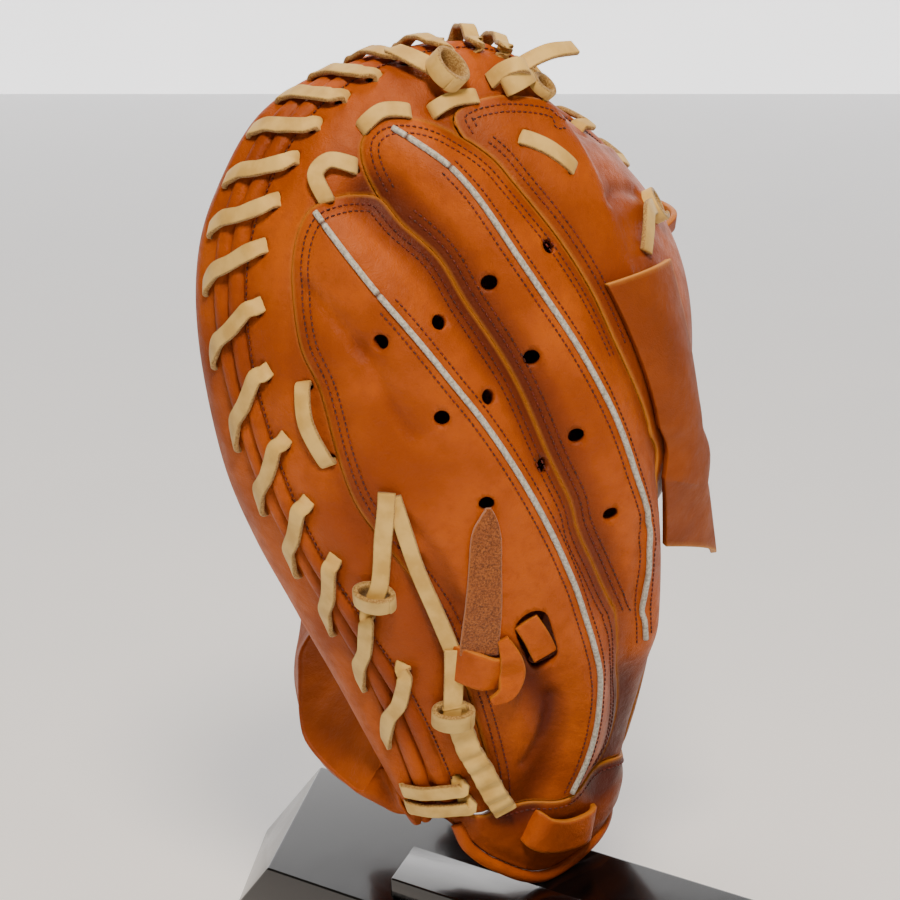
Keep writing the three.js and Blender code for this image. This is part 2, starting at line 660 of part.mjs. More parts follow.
// Cross-section of the palm pad at a place on the rim, from the back's edge round the groove
// for the welts and over the lip to the pocket: back and out from the rim line
const lip_round = 2;
const heel_middle = 21;
const heel_rows = table(['back', 'out'], [
  [0.42, -0.10], [0.10, 0.00], [-0.30, -0.04], [-0.50, -0.21], [-0.55, -0.42], [-0.60, -0.67], [-0.65, -1.00],
]);
const heel_inner_rows = table(['back', 'out'], [[0.50, -0.33], [0.55, -0.54], [0.55, -0.75]]);
function pad_section(place) {
  const f = frame_at(rim_numbers, place);
  const [lip, thick] = f.row.slice(6);
  const hold = laced(place, rim_numbers.length);
  const groove = welt_radius + groove_play;
  const front = -welt_seat - lip;
  const on_rim = [
    [welt_seat - seat_gap, -groove], [-welt_seat + seat_gap, -groove], [-welt_seat, edge_rise],
    [-welt_seat - 0.5 * lip, edge_rise + 0.5 * lip_round], [front, 0.25 * lip_round - 0.1 * thick],
    [front - lip_round, -0.45 * thick], [front + lip_round, -0.8 * thick]];
  const on_heel = heel_rows.map((row) => from_frame(f, row.back * thick, row.out * heel_depth));
  const outline = on_rim.map(([back, out], k) => on_heel[k].lerp(from_frame(f, back, out), hold));
  const edge_place = Math.min(place > heel_middle ? 0 : place, rim_end);
  const inner = heel_inner_rows.map((row, k) => {
    const on_rim_inner = on_back(...flat_spot(edge_place, contact_shares[k]), -back_wall - seat_gap);
    return from_frame(f, row.back * thick, row.out * heel_depth).lerp(on_rim_inner, hold);
  });
  return { f, outline, inner };
}

// Smooth run from the middle of a surface to a point near the rim
function run_in(middle, lead, end, count) {
  const reach = end.clone().sub(middle);
  const level = reach.addScaledVector(middle_facing, -reach.dot(middle_facing));
  const curve = new THREE.CubicBezierCurve3(
    middle, middle.clone().addScaledVector(level, middle_roundness), lead, end);
  return Array.from({ length: count }, (_, k) => curve.getPoint((k + 1) / (count + 1)));
}

const hand_turn = 20;
const pocket_turn = 22;
const hand_rings = 2;
const pocket_rings = 4;
function palm_pad() {
  return spoked(spoke_places(rim_numbers).map((place) => {
    const { f, outline, inner } = pad_section(place);
    const hand_lead = inner.at(-1).clone().addScaledVector(f.out, -hand_turn);
    const pocket_end = outline.at(-1);
    const pocket_lead = pocket_end.clone().addScaledVector(f.back, pocket_turn)
      .addScaledVector(f.out, -0.4 * pocket_turn);
    return [
      palm_middle,
      ...run_in(palm_middle, hand_lead, inner.at(-1), hand_rings),
      ...inner.slice().reverse(),
      ...outline,
      ...run_in(pocket_middle, pocket_lead, pocket_end, pocket_rings).reverse(),
      pocket_middle];
  }));
}

function places_between(start, end) {
  const first = Math.ceil(start * spokes_per_row + 0.2);
  const last = Math.floor(end * spokes_per_row - 0.2);
  const inside = Array.from({ length: last - first + 1 }, (_, k) => (first + k) / spokes_per_row);
  return [start, ...inside, end];
}

// One of the two leather welts that run side by side between the back and the palm
const welt_spacing = welt_radius + 0.5 * welt_gap;
const welt_end = rim_end - 1;
function welt(side) {
  const places = places_between(0, welt_end);
  const frames = places.map((place) => frame_at(rim_numbers, place));
  const points = frames.map((f) => from_frame(f, side * welt_spacing, 0));
  return rod(points, frames.map((f) => f.out), () => round_section(welt_radius, 6));
}

function heel_binding() {
  const places = places_between(rim_end + 0.8, rim_numbers.length - 1);
  const sections = places.map((place) => pad_section(place));
  const points = sections.map(({ f, outline }) => (
    outline[1].clone().addScaledVector(f.out, binding_radius + seat_gap)));
  return rod(points, sections.map(({ f }) => f.out), () => round_section(binding_radius, 6));
}

function wrist_binding() {
  const places = places_between(rim_end + 0.7, edge_numbers.length - 0.7);
  const spots = places.map((place) => flat_spot(place, 1));
  const points = spots.map((spot) => {
    const inward = on_back(spot[0] * 0.97, spot[1] * 0.97, -back_wall / 2);
    const edge = on_back(...spot, -back_wall / 2);
    const away = edge.clone().sub(inward).normalize();
    return edge.addScaledVector(away, binding_radius + 2 * seat_gap);
  });
  return rod(points, spots.map((spot) => off_back(...spot)), () => round_section(binding_radius, 6));
}

// What lies on the back is trimmed to its facets, with the seat gap left under it
function trimmed(geometry) {
  return solid(geometry).subtract(back_clearance);
}

function largest(shape) {
  const pieces = bodies_of(shape);
  return pieces.reduce((a, b) => (b.index.count > a.index.count ? b : a));
}

function piping(rows) {
  const spots = spread(rows, ['across', 'up'], piping_step);
  const seats = spots.map((spot) => seat(...spot, 2 * seat_gap + piping_radius));
  return rod(seats.map((s) => s.point), seats.map((s) => s.off), () => round_section(piping_radius, 4));
}

// Flat band of leather that lies on the back, with rows of across, up, lift and, where it
// narrows, share of its width
function band(rows, width, thickness) {
  const seats = rows.map(([across, up, lift]) => seat(across, up, lift + seat_gap + 0.45 * thickness));
  return rod(seats.map((s) => s.point), seats.map((s) => s.off), (k) => {
    const share = rows[k][3] ?? 1;
    return flat_section(width * share, thickness);
  });
}

function smooth_rows(rows, parts) {
  const count = (rows.length - 1) * parts;
  return Array.from({ length: count + 1 }, (_, k) => along_rows(rows, k / parts, false));
}

function numbers_of(rows, columns) {
  return rows.map((row) => columns.map((name) => row[name]));
}

// A band through table rows whose lift is a share of one named size
function lifted_band(rows, lift_size, width, thickness) {
  const lines = smooth_rows(rows, 2);
  lines.forEach((line) => { line[2] *= lift_size; });
  return trimmed(band(lines, width, thickness));
}

function lace_band(rows) {
  return lifted_band(rows, lace_thickness, lace_width, lace_thickness);
}

function knot(bands) {
  return bands.map((rows) => lace_band(rows)).reduce((a, b) => a.add(b));
}

// Lace stitch: out of its hole in the back, over both welts and down into the palm leather.
// Its stops give the share of its lean, the places back and out, and the tilt of the lace.
const flat_reach = 0.91 * mitt_depth;
function stitch(hole, lean) {
  const lift = seat_gap + 0.5 * lace_thickness;
  const start = seat(...flat_spot(hole, 1 - (stitch_hole - welt_seat) / flat_reach), lift);
  const over = welt_radius + lift + 0.05 * lace_thickness;
  const stops = [
    [0.28, welt_seat + 0.75 * lace_thickness, edge_rise + lift + 0.5 * lace_thickness, 0.25],
    [0.45, welt_spacing, over, 0], [0.65, -welt_spacing, over, 0],
    [0.85, -welt_seat - 0.2 * lace_thickness, over - 0.2 * lace_thickness, -0.55],
    [1, -stitch_dive - 0.8 * lace_thickness, edge_rise + lift + 0.85 * lace_thickness, -0.8]];
  const frames = stops.map(([share]) => frame_at(rim_numbers, hole + lean * share));
  const points = [start.point, ...stops.map(([, back, out], k) => from_frame(frames[k], back, out))];
  const tilted = frames.map((f, k) => f.out.clone().addScaledVector(f.back, stops[k][3]).normalize());
  const section = flat_section(lace_width, lace_thickness);
  return largest(trimmed(rod(points, [start.off, ...tilted], () => section)));
}

function rim_band(rows, width, thickness) {
  const numbers = smooth_rows(numbers_of(rows, ['place', 'back', 'out']), 2);
  const points = numbers.map(([place, back, out]) => (
    from_frame(frame_at(rim_numbers, place), back * web_reach, out * web_reach)));
  const normals = numbers.map(([place, back, out]) => {
    const f = frame_at(rim_numbers, place);
    return f.back.clone().multiplyScalar(back).addScaledVector(f.out, out).normalize();
  });
  return largest(trimmed(rod(points, normals, () => flat_section(width, thickness))));
}

// Forefinger flap: a bowed plate sewn along one edge, free along the other three
function finger_flap() {
  const rows = smooth_rows(numbers_of(flap_rows, ['across', 'up', 'reach_x', 'reach_y', 'reach_z']), 2);
  const shares = [0, 0.25, 0.5, 0.75, 1];
  const lines = rows.map(([across, up, ...reach]) => {
    const sewn = seat(across, up, seat_gap + 0.5 * flap_thickness);
    const span = sized(...reach);
    return shares.map((share) => {
      const bow = flap_arch * 4 * share * (1 - share);
      return sewn.point.clone().addScaledVector(span, share).addScaledVector(sewn.off, bow);
    });
  });
  const face = sized(...flap_face).normalize();
  const side = (half) => lines.map((line) => (
    line.map((p) => p.clone().addScaledVector(face, half * flap_thickness))));
  return largest(trimmed(plate(side(0.5), side(-0.5))));
}

// Closed plate between two grids of points of the same size
function plate(top, under) {
  const [rows, columns] = [top.length, top[0].length];
  const corners = [...top.flat(), ...under.flat()];
  const at = (side, r, c) => side * rows * columns + r * columns + c;
  const faces = [];
  const quad = (a, b, c, d) => faces.push([a, b, c], [a, c, d]);
  for (let r = 0; r < rows - 1; r += 1) {
    for (let c = 0; c < columns - 1; c += 1) {
      quad(at(0, r, c), at(0, r, c + 1), at(0, r + 1, c + 1), at(0, r + 1, c));
      quad(at(1, r, c), at(1, r + 1, c), at(1, r + 1, c + 1), at(1, r, c + 1));
    }
    quad(at(0, r + 1, 0), at(1, r + 1, 0), at(1, r, 0), at(0, r, 0));
    quad(at(0, r, columns - 1), at(1, r, columns - 1), at(1, r + 1, columns - 1), at(0, r + 1, columns - 1));
  }
  for (let c = 0; c < columns - 1; c += 1) {
    quad(at(0, 0, c), at(1, 0, c), at(1, 0, c + 1), at(0, 0, c + 1));
    quad(at(0, rows - 1, c + 1), at(1, rows - 1, c + 1), at(1, rows - 1, c), at(0, rows - 1, c));
  }
  return body(corners, faces);
}

// Stand: a long low wedge with a bevelled far end, and a shelf block let into its slope
function stand_points(grow) {
  const near = stand_middle - stand_length / 2 - grow;
  const far = stand_middle + stand_length / 2 - end_cut + grow;
  const ridge = stand_edge + ridge_reach;
  const back_end = far + end_skew + back_toe;
  return [
    [stand_edge - grow, near, -grow], [stand_edge - grow, near, stand_front + grow],
    [ridge, near, stand_ridge + grow], [stand_back + grow, near, -grow],
    [stand_edge - grow, far, stand_front + grow], [ridge, far + end_skew, stand_ridge + grow],
    [stand_edge - grow, far + front_toe, -grow], [stand_back + grow, back_end, -grow],
    [ridge, back_end, -grow],
  ].map((p) => new THREE.Vector3(...p));
}

function slope_height(x) {
  return stand_front + (stand_ridge - stand_front) * (x - stand_edge) / ridge_reach;
}

const shelf_top = slope_height(shelf_edge) + shelf_rise;
function stand_shelf() {
  const outline = new THREE.Shape([
    [shelf_edge, shelf_corner - shelf_length], [shelf_edge + shelf_depth, shelf_corner - shelf_length],
    [shelf_edge + shelf_depth, shelf_corner + shelf_skew], [shelf_edge, shelf_corner],
  ].map(([x, y]) => new THREE.Vector2(x, y)));
  const block = plain(new THREE.ExtrudeGeometry(outline, { depth: shelf_top, bevelEnabled: false }));
  return geometry_of(solid(block).subtract(solid(plain(new ConvexGeometry(stand_points(seat_gap))))));
}

// Height at which the wrist edge of the mitt just clears the stand
function standing_height(geometry) {
  const places = geometry.attributes.position;
  const needs = Array.from({ length: places.count }, (_, k) => (
    Math.max(slope_height(places.getX(k)), shelf_top) - places.getZ(k)));
  return Math.max(...needs) + 2 * seat_gap;
}

const mitt = new THREE.Group();
const wrist_edge = wrist_binding();
mitt.position.z = standing_height(wrist_edge);

function add(group, name, geometry, material) {
  const mesh = new THREE.Mesh(geometry, material.clone());
  mesh.name = name;
  group.add(mesh);
}

add(mitt, 'palm_pad', palm_pad(), palm_leather);
cut_panels().forEach(({ name, geometry }) => add(mitt, name, geometry, leather));
add(mitt, 'welt_inner', welt(1), leather);
add(mitt, 'welt_outer', welt(-1), leather);
add(mitt, 'wrist_binding', wrist_edge, leather);
add(mitt, 'heel_binding', heel_binding(), leather);
add(mitt, 'ring_piping', piping(ring_piping), piping_cloth);
add(mitt, 'middle_piping', piping(middle_piping), piping_cloth);
add(mitt, 'finger_flap', finger_flap(), leather);
const strap_lines = strap_rows.map(({ across, up, share }) => [across, up, 0, share]);
add(mitt, 'adjuster_strap', largest(lifted_band(strap_lines, 0, strap_width, strap_thickness)), suede);
add(mitt, 'strap_loop', largest(lifted_band(
  numbers_of(loop_rows, ['across', 'up', 'lift']), strap_thickness, loop_width, strap_thickness)), leather);
add(mitt, 'slot_tab', largest(lifted_band(
  numbers_of(tab_rows, ['across', 'up', 'lift']), strap_thickness, tab_width, strap_thickness)), leather);
add(mitt, 'keeper_loop', largest(lifted_band(
  numbers_of(keeper_rows, ['across', 'up', 'lift']), keeper_rise, keeper_width, strap_thickness)), leather);
stitches.forEach(({ hole, lean }, k) => {
  add(mitt, `rim_lace_${String(k + 1).padStart(2, '0')}`, stitch(hole, lean), lace_leather);
});
Object.entries(accent_rows).forEach(([name, rows]) => {
  add(mitt, name, largest(lace_band(rows)), lace_leather);
});
Object.entries(knot_rows).forEach(([name, bands]) => {
  add(mitt, name, largest(knot(bands)), lace_leather);
});
wraps.forEach(({ hole, lean }, k) => add(mitt, `heel_wrap_${k + 1}`, stitch(hole, lean), lace_leather));
add(mitt, 'web_loop', rim_band(web_loop_rows, loop_width, strap_thickness), leather);
add(mitt, 'web_lace', rim_band(web_lace_rows, lace_width, lace_thickness), lace_leather);

const whole = new THREE.Group();
whole.add(mitt);
add(whole, 'stand_wedge', plain(new ConvexGeometry(stand_points(0))), stand_gloss);
add(whole, 'stand_shelf', stand_shelf(), stand_gloss);

export default whole;
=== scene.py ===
# %% [markdown]
# # A catcher's mitt on its display stand
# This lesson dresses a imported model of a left-hand catcher's mitt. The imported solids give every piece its
# place and size; the cells below give each piece the fine shape and the finish that the real one has:
# oiled cowhide, rolled welts, rawhide lace, waxed thread, a suede strap and a glossy moulded stand.

# %% Load the frame
import math

import bpy
import numpy as np
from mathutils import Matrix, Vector
from mathutils.geometry import delaunay_2d_cdt
from mathutils.kdtree import KDTree


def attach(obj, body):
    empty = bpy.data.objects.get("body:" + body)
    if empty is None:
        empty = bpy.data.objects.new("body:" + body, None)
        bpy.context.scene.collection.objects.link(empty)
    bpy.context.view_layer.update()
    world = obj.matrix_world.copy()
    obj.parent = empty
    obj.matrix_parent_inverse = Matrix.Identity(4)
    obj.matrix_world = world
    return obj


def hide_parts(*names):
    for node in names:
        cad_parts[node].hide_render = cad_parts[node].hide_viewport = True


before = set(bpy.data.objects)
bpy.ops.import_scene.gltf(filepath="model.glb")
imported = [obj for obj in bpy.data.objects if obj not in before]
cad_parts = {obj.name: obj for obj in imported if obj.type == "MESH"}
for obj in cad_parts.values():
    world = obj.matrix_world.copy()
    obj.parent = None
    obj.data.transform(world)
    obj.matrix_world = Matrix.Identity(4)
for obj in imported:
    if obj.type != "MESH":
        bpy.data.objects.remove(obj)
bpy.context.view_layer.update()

bpy.ops.object.select_all(action="DESELECT")

# %% [markdown]
# The camera stands behind the mitt and to its left, a little above the middle, as in the photograph. A long
# lens from 1.2 m keeps the mitt's sides nearly parallel.

# %% Camera
CAMERA_TURN = -50.0
CAMERA_RISE = 15.0
CAMERA_DISTANCE = 1.2
CAMERA_AIM = Vector((0.0, 0.0, 0.200))
LENS_MM = 128.0
SENSOR_MM = 36.0


def add_camera():
    turn, rise = math.radians(CAMERA_TURN), math.radians(CAMERA_RISE)
    away = Vector((math.sin(turn) * math.cos(rise), -math.cos(turn) * math.cos(rise), math.sin(rise)))
    bpy.ops.object.camera_add(location=CAMERA_AIM + away * CAMERA_DISTANCE)
    camera = bpy.context.object
    camera.rotation_euler = (-away).to_track_quat("-Z", "Y").to_euler()
    camera.data.lens = LENS_MM
    camera.data.sensor_width = SENSOR_MM
    bpy.context.scene.camera = camera
    return camera


print("camera at", tuple(round(v, 3) for v in add_camera().location))

# %% [markdown]
# Lengths in this lesson are millimetres, because leather, lace and thread are bought in millimetres. The
# surfaces follow the same few sizes and short tables as the solids: the rim of the mitt as a closed line of
# rows, the wrist edge, and the seams of the back drawn on the back as if it lay flat in a disc. Places in a
# table are shares of the mitt's width, depth and height.

# %% Sizes
MM = 0.001
MITT_WIDTH, MITT_DEPTH, MITT_HEIGHT = 200.0, 175.0, 318.0
BACK_WALL = 2.5
LIP_REACH = 27.0
PAD_THICKNESS = 34.0
HAND_SPACE = 27.0
RELIEF_DEPTH = 3.5
WELT_RADIUS = 3.8
BINDING_RADIUS = 2.4
PIPING_RADIUS = 1.4
LACE_WIDTH = 5.8
LACE_THICKNESS = 2.0
STRAP_WIDTH = 13.0
STRAP_THICKNESS = 2.4
KEEPER_WIDTH = 14.0
KEEPER_RISE = 3.0
FLAP_THICKNESS = 2.6
SEAT_GAP = 0.3
mitt_size = np.array([MITT_WIDTH, MITT_DEPTH, MITT_HEIGHT])

# %% Rim and wrist tables
# across, deep, up, swell x, swell y, swell z, lip share, body share
RIM_ROWS = [
    [-0.128, -0.097, 0.104, 0.040, -0.103, 0.013, 0.25, 0.55],
    [-0.225, -0.080, 0.248, 0.010, -0.137, 0.019, 0.67, 0.76],
    [-0.300, -0.023, 0.352, -0.015, -0.183, 0.013, 0.96, 0.94],
    [-0.360, 0.046, 0.447, -0.030, -0.229, 0.009, 1.00, 1.00],
    [-0.400, 0.103, 0.541, -0.030, -0.263, 0.006, 0.85, 1.00],
    [-0.420, 0.160, 0.660, -0.030, -0.274, 0.000, 0.63, 0.97],
    [-0.410, 0.183, 0.761, -0.025, -0.263, 0.006, 0.52, 0.88],
    [-0.375, 0.171, 0.840, -0.015, -0.240, 0.013, 0.44, 0.82],
    [-0.300, 0.137, 0.918, 0.000, -0.217, 0.016, 0.41, 0.76],
    [-0.190, 0.080, 0.965, 0.000, -0.194, 0.019, 0.41, 0.71],
    [-0.060, -0.006, 0.987, -0.015, -0.157, 0.013, 0.41, 0.71],
    [0.055, -0.075, 0.975, -0.050, -0.130, 0.008, 0.44, 0.71],
    [0.160, -0.088, 0.914, -0.125, -0.180, 0.020, 0.48, 0.71],
    [0.360, -0.063, 0.845, -0.140, -0.225, 0.010, 0.52, 0.76],
    [0.530, 0.000, 0.745, -0.090, -0.240, 0.005, 0.59, 0.82],
    [0.580, 0.183, 0.626, 0.010, -0.260, 0.000, 0.67, 0.88],
    [0.540, 0.354, 0.494, 0.065, -0.310, 0.006, 0.67, 0.88],
    [0.430, 0.480, 0.368, 0.110, -0.229, 0.006, 0.59, 0.82],
    [0.300, 0.549, 0.274, 0.170, -0.194, 0.006, 0.44, 0.71],
    [0.140, 0.545, 0.204, 0.150, -0.034, 0.000, 0.22, 0.53],
    [0.050, 0.470, 0.145, 0.130, -0.023, 0.019, 0.15, 0.41],
    [-0.025, 0.300, 0.090, 0.100, -0.011, 0.038, 0.15, 0.41],
    [-0.070, 0.060, 0.080, 0.060, -0.011, 0.044, 0.15, 0.41],
    [-0.095, -0.020, 0.080, 0.050, -0.075, 0.019, 0.15, 0.41],
]
WRIST_ROWS = [
    [0.330, 0.480, 0.204, 0.140, -0.160, 0.019],
    [0.380, 0.331, 0.148, 0.100, -0.103, 0.050],
    [0.390, 0.103, 0.097, 0.070, -0.080, 0.082],
    [0.330, -0.137, 0.063, 0.025, -0.034, 0.101],
    [0.225, -0.234, 0.035, 0.005, -0.023, 0.107],
    [0.075, -0.206, 0.000, 0.000, 0.011, 0.113],
    [-0.035, -0.165, 0.030, 0.040, -0.034, 0.082],
    [-0.105, -0.140, 0.072, 0.050, -0.069, 0.055],
]
RIM_END = 18
WELT_END = RIM_END - 1

back_middle = np.array([0.130, -0.429, 0.525]) * mitt_size
middle_facing = np.array([0.25, -1.0, 0.0]) / math.hypot(0.25, 1.0)
palm_middle = back_middle - middle_facing * (HAND_SPACE + BACK_WALL)
pocket_middle = np.array([0.050, -0.130, 0.490]) * mitt_size
MIDDLE_ROUNDNESS = 0.6
WELT_SEAT = 2 * WELT_RADIUS + 0.7
WELT_SPACING = WELT_RADIUS + 0.2
EDGE_RISE = 1.5
CORNER = 1.4
print("rim rows", len(RIM_ROWS), "wrist rows", len(WRIST_ROWS))

# %% Seams of the back
# Each seam is a line of [across, up] places on the flat disc of the back.
RING_OUTLINE = [
    [0.806, -0.229], [0.800, -0.120], [0.765, 0.050], [0.698, 0.216], [0.648, 0.296], [0.607, 0.389],
    [0.571, 0.490], [0.530, 0.581], [0.456, 0.654], [0.347, 0.720], [0.281, 0.783], [0.169, 0.828],
    [0.083, 0.845], [0.004, 0.846], [-0.052, 0.829], [-0.086, 0.793], [-0.112, 0.745],
    [-0.120, 0.695], [-0.084, 0.638], [-0.049, 0.553], [0.015, 0.482], [0.093, 0.372],
    [0.164, 0.279], [0.209, 0.192], [0.246, 0.143], [0.262, 0.060], [0.245, -0.067],
    [0.265, -0.230], [0.320, -0.360], [0.400, -0.480], [0.470, -0.529],
]
MIDDLE_OUTLINE = [
    [-0.120, 0.695], [-0.160, 0.733], [-0.205, 0.758], [-0.250, 0.762], [-0.288, 0.743],
    [-0.312, 0.705], [-0.322, 0.660], [-0.322, 0.615], [-0.310, 0.560], [-0.298, 0.522],
    [-0.280, 0.485], [-0.254, 0.448], [-0.228, 0.404], [-0.190, 0.333], [-0.145, 0.256],
    [-0.088, 0.168], [-0.048, 0.055], [-0.015, -0.075], [0.040, -0.190], [0.130, -0.320],
    [0.230, -0.450], [0.330, -0.580], [0.375, -0.700],
]
INDEX_OUTLINE = [
    [-1.035, 0.120], [-0.900, 0.150], [-0.780, 0.215], [-0.640, 0.330], [-0.535, 0.438],
    [-0.475, 0.512], [-0.432, 0.558], [-0.398, 0.582], [-0.363, 0.590], [-0.337, 0.581],
    [-0.310, 0.560],
]
THUMB_OUTLINE = [
    [-1.040, -0.250], [-0.760, -0.250], [-0.480, -0.310], [-0.200, -0.430], [0.060, -0.620],
    [0.250, -0.820],
]
BAND_OUTLINE = [
    [1.040, -0.090], [0.900, -0.165], [0.806, -0.229], [0.709, -0.320], [0.611, -0.381],
    [0.530, -0.440], [0.470, -0.529], [0.420, -0.620], [0.375, -0.700], [0.250, -0.820],
    [0.060, -0.920], [-0.130, -1.040],
]
RING_PIPING = [
    [-0.045, 0.815], [0.041, 0.711], [0.100, 0.629], [0.162, 0.509], [0.199, 0.420], [0.241, 0.321],
    [0.289, 0.220], [0.330, 0.122], [0.352, 0.035], [0.368, -0.120], [0.410, -0.255],
    [0.470, -0.350], [0.530, -0.410],
]
MIDDLE_PIPING = [
    [-0.275, 0.705], [-0.248, 0.645], [-0.220, 0.580], [-0.186, 0.526], [-0.151, 0.480],
    [-0.117, 0.436], [-0.087, 0.390], [-0.063, 0.348], [-0.042, 0.306], [-0.018, 0.260],
    [0.012, 0.208], [0.045, 0.155], [0.073, 0.103], [0.097, 0.045], [0.112, -0.020], [0.140, -0.095],
    [0.172, -0.160], [0.200, -0.215],
]
RING_FOLD = [[0.560, 0.120], [0.520, 0.020], [0.540, -0.120], [0.600, -0.240], [0.680, -0.330]]

# The leather sinks along seams and swells over the pipings: line, width in mm, share of RELIEF_DEPTH.
RELIEFS = [
    (RING_OUTLINE[17:], 12.8, -1.6),
    (RING_OUTLINE[:17], 8.96, -0.5),
    (MIDDLE_OUTLINE[3:], 11.2, -0.7),
    (INDEX_OUTLINE, 8.96, -0.3),
    (RING_PIPING, 16, 1.0),
    (MIDDLE_PIPING, 14.1, 1.0),
    (RING_FOLD, 8.96, -1.3),
]
# Wrinkles from use, each a few places of its line
WRINKLE_WIDTH = 3.0
WRINKLE_SHARE = -0.42
WRINKLES = [
    [[0.142, 0.801], [0.163, 0.747], [0.192, 0.695], [0.215, 0.655]],
    [[0.204, 0.661], [0.224, 0.625], [0.270, 0.583], [0.300, 0.530]],
    [[0.476, 0.480], [0.497, 0.406], [0.541, 0.326], [0.560, 0.290]],
    [[0.543, 0.408], [0.566, 0.331], [0.596, 0.264]],
    [[0.120, 0.020], [0.160, -0.060], [0.170, -0.150]],
    [[0.500, 0.020], [0.560, -0.040], [0.650, -0.080]],
    [[-0.640, 0.100], [-0.560, 0.160], [-0.460, 0.200]],
    [[0.300, 0.860], [0.350, 0.800], [0.420, 0.770]],
    [[0.050, 0.900], [-0.020, 0.880], [-0.080, 0.890]],
]
RELIEFS += [(line, WRINKLE_WIDTH, WRINKLE_SHARE) for line in WRINKLES]
RELIEF_END = 0.9

# Panels: a place inside each, and how high it lies over the lowest one, in mm.
PANELS = {
    "rim_panel": ((0.300, 0.900), 0.0),
    "ring_finger_stall": ((0.300, 0.500), 1.3),
    "middle_finger_stall": ((0.000, 0.350), 1.0),
    "index_panel": ((-0.500, 0.150), 1.9),
    "thumb_panel": ((-0.400, -0.700), 0.7),
    "wrist_band": ((0.700, -0.550), 2.2),
}
VENTS = [
    [0.177, 0.625], [0.240, 0.488], [0.326, 0.362], [0.079, 0.532], [0.154, 0.417],
    [0.190, 0.283], [-0.047, 0.459], [0.039, 0.353], [0.107, 0.234], [0.169, 0.100],
    [-0.165, 0.361],
]
VENT_RADIUS = 2.8
SLOT_CORNERS = [
    [0.504, 0.170], [0.455, 0.166], [0.424, 0.140], [0.433, 0.104], [0.446, 0.075], [0.483, 0.078],
    [0.520, 0.090], [0.522, 0.130],
]
print("panels:", ", ".join(PANELS))

# %% Lace, strap and flap tables
# Rim laces: the hole's place along the rim rows, and how many rows the lace leans.
STITCHES = [
    [1.40, -0.73], [2.10, -0.85], [2.80, -0.85], [3.55, -0.85], [4.25, -0.75], [4.90, -0.68],
    [5.60, -0.62], [6.35, -0.62], [7.00, -0.60], [7.55, -0.48], [8.05, -0.36], [8.55, -0.34],
    [9.05, -0.36], [9.52, -0.36], [10.02, -0.30], [10.80, 0.10], [11.30, 0.12], [12.35, 0.20],
    [13.00, 0.22], [13.60, 0.15], [14.90, 0.40], [15.50, 0.45], [16.10, 0.45], [16.90, 0.45],
]
HEEL_WRAPS = [[0.09, 0.0], [0.28, 0.0]]
STITCH_HOLE = 17.0
STITCH_DIVE = 9.6

# Laces on the back, a row for each bend: across, up, lift in mm
ACCENTS = {
    "accent_lace_top": [[-0.275, 0.768, 0.0], [-0.315, 0.738, 1.6], [-0.335, 0.690, 0.0]],
    "accent_lace_crown": [[-0.365, 0.632, 0.0], [-0.403, 0.604, 1.8], [-0.438, 0.566, 0.0]],
    "accent_lace_rim": [[-0.172, 0.770, 0.0], [-0.168, 0.818, 2.0], [-0.130, 0.838, 2.0],
                        [-0.085, 0.805, 0.0]],
    "accent_lace_side": [[0.365, 0.758, 0.0], [0.425, 0.732, 2.0], [0.478, 0.680, 0.0]],
    "accent_lace_index": [[-0.370, 0.448, 0.0], [-0.374, 0.395, 0.9], [-0.374, 0.334, 0.0]],
}
# across, up, width share
STRAP_ROWS = [
    [0.330, 0.356, 0.15], [0.352, 0.345, 0.52], [0.385, 0.330, 0.80], [0.440, 0.300, 0.92],
    [0.520, 0.255, 1.02], [0.622, 0.200, 1.08],
]
TAB_ROWS = [[0.474, 0.158, 0.0], [0.474, 0.125, 0.5], [0.474, 0.092, 0.0]]
KEEPER_ROWS = [
    [0.700, -0.425, 0.0], [0.680, -0.460, 1.0], [0.640, -0.535, 1.0], [0.610, -0.610, 1.0],
    [0.600, -0.650, 0.0],
]
# across, up, and the reach of the free edge as shares of width, depth and height
FLAP_ROWS = [
    [-0.167, 0.235, 0.214, 0.023, 0.006],
    [-0.115, 0.150, 0.205, 0.034, -0.020],
    [-0.070, 0.060, 0.186, 0.040, -0.028],
    [-0.035, -0.040, 0.180, 0.040, -0.033],
    [0.020, -0.190, 0.200, 0.030, -0.042],
]
FLAP_ARCH = 5.0
# place, back, out
WEB_LOOP_ROWS = [[13.82, 21, -2], [13.92, 16, 12], [14.05, 4, 18], [14.15, -9, 14], [14.20, -14, 4]]
WEB_LACE_ROWS = [[14.38, 15, 2], [14.43, 13, 18], [14.52, 1, 24], [14.60, -9, 16], [14.64, -13, 4]]
print("rim laces", len(STITCHES))

# %% [markdown]
# The next cells turn the tables into surfaces. A smooth curve runs through the rows; at every place of the rim
# a small frame says which way is onward, which way is towards the back, and which way is out. From the middle
# of the back a curve with four handles runs out to each place of the edge, and all these curves together are
# the leather of the back. NumPy works on thousands of places at once.

# %% Curves and frames
def unit(vectors):
    return vectors / np.linalg.norm(vectors, axis=-1, keepdims=True)


def dots(a, b):
    return (a * b).sum(-1, keepdims=True)


def rows_at(rows, places, closed=False):
    rows = np.asarray(rows, float)
    places = np.asarray(places, float)
    last = len(rows) - 1
    first = np.floor(places).astype(int)
    if not closed:
        first = np.minimum(first, last - 1)

    def pick(k):
        return rows[k % len(rows)] if closed else rows[np.clip(k, 0, last)]

    f = (places - first)[..., None]
    a, b, c, d = pick(first - 1), pick(first), pick(first + 1), pick(first + 2)
    return 0.5 * (2 * b + (c - a) * f + (2 * a - 5 * b + 4 * c - d) * f ** 2
                  + (3 * b - a - 3 * c + d) * f ** 3)


def rows_in_mm(rows):
    numbers = np.array([row[:6] for row in rows], float)
    return numbers * np.concatenate([mitt_size, mitt_size])


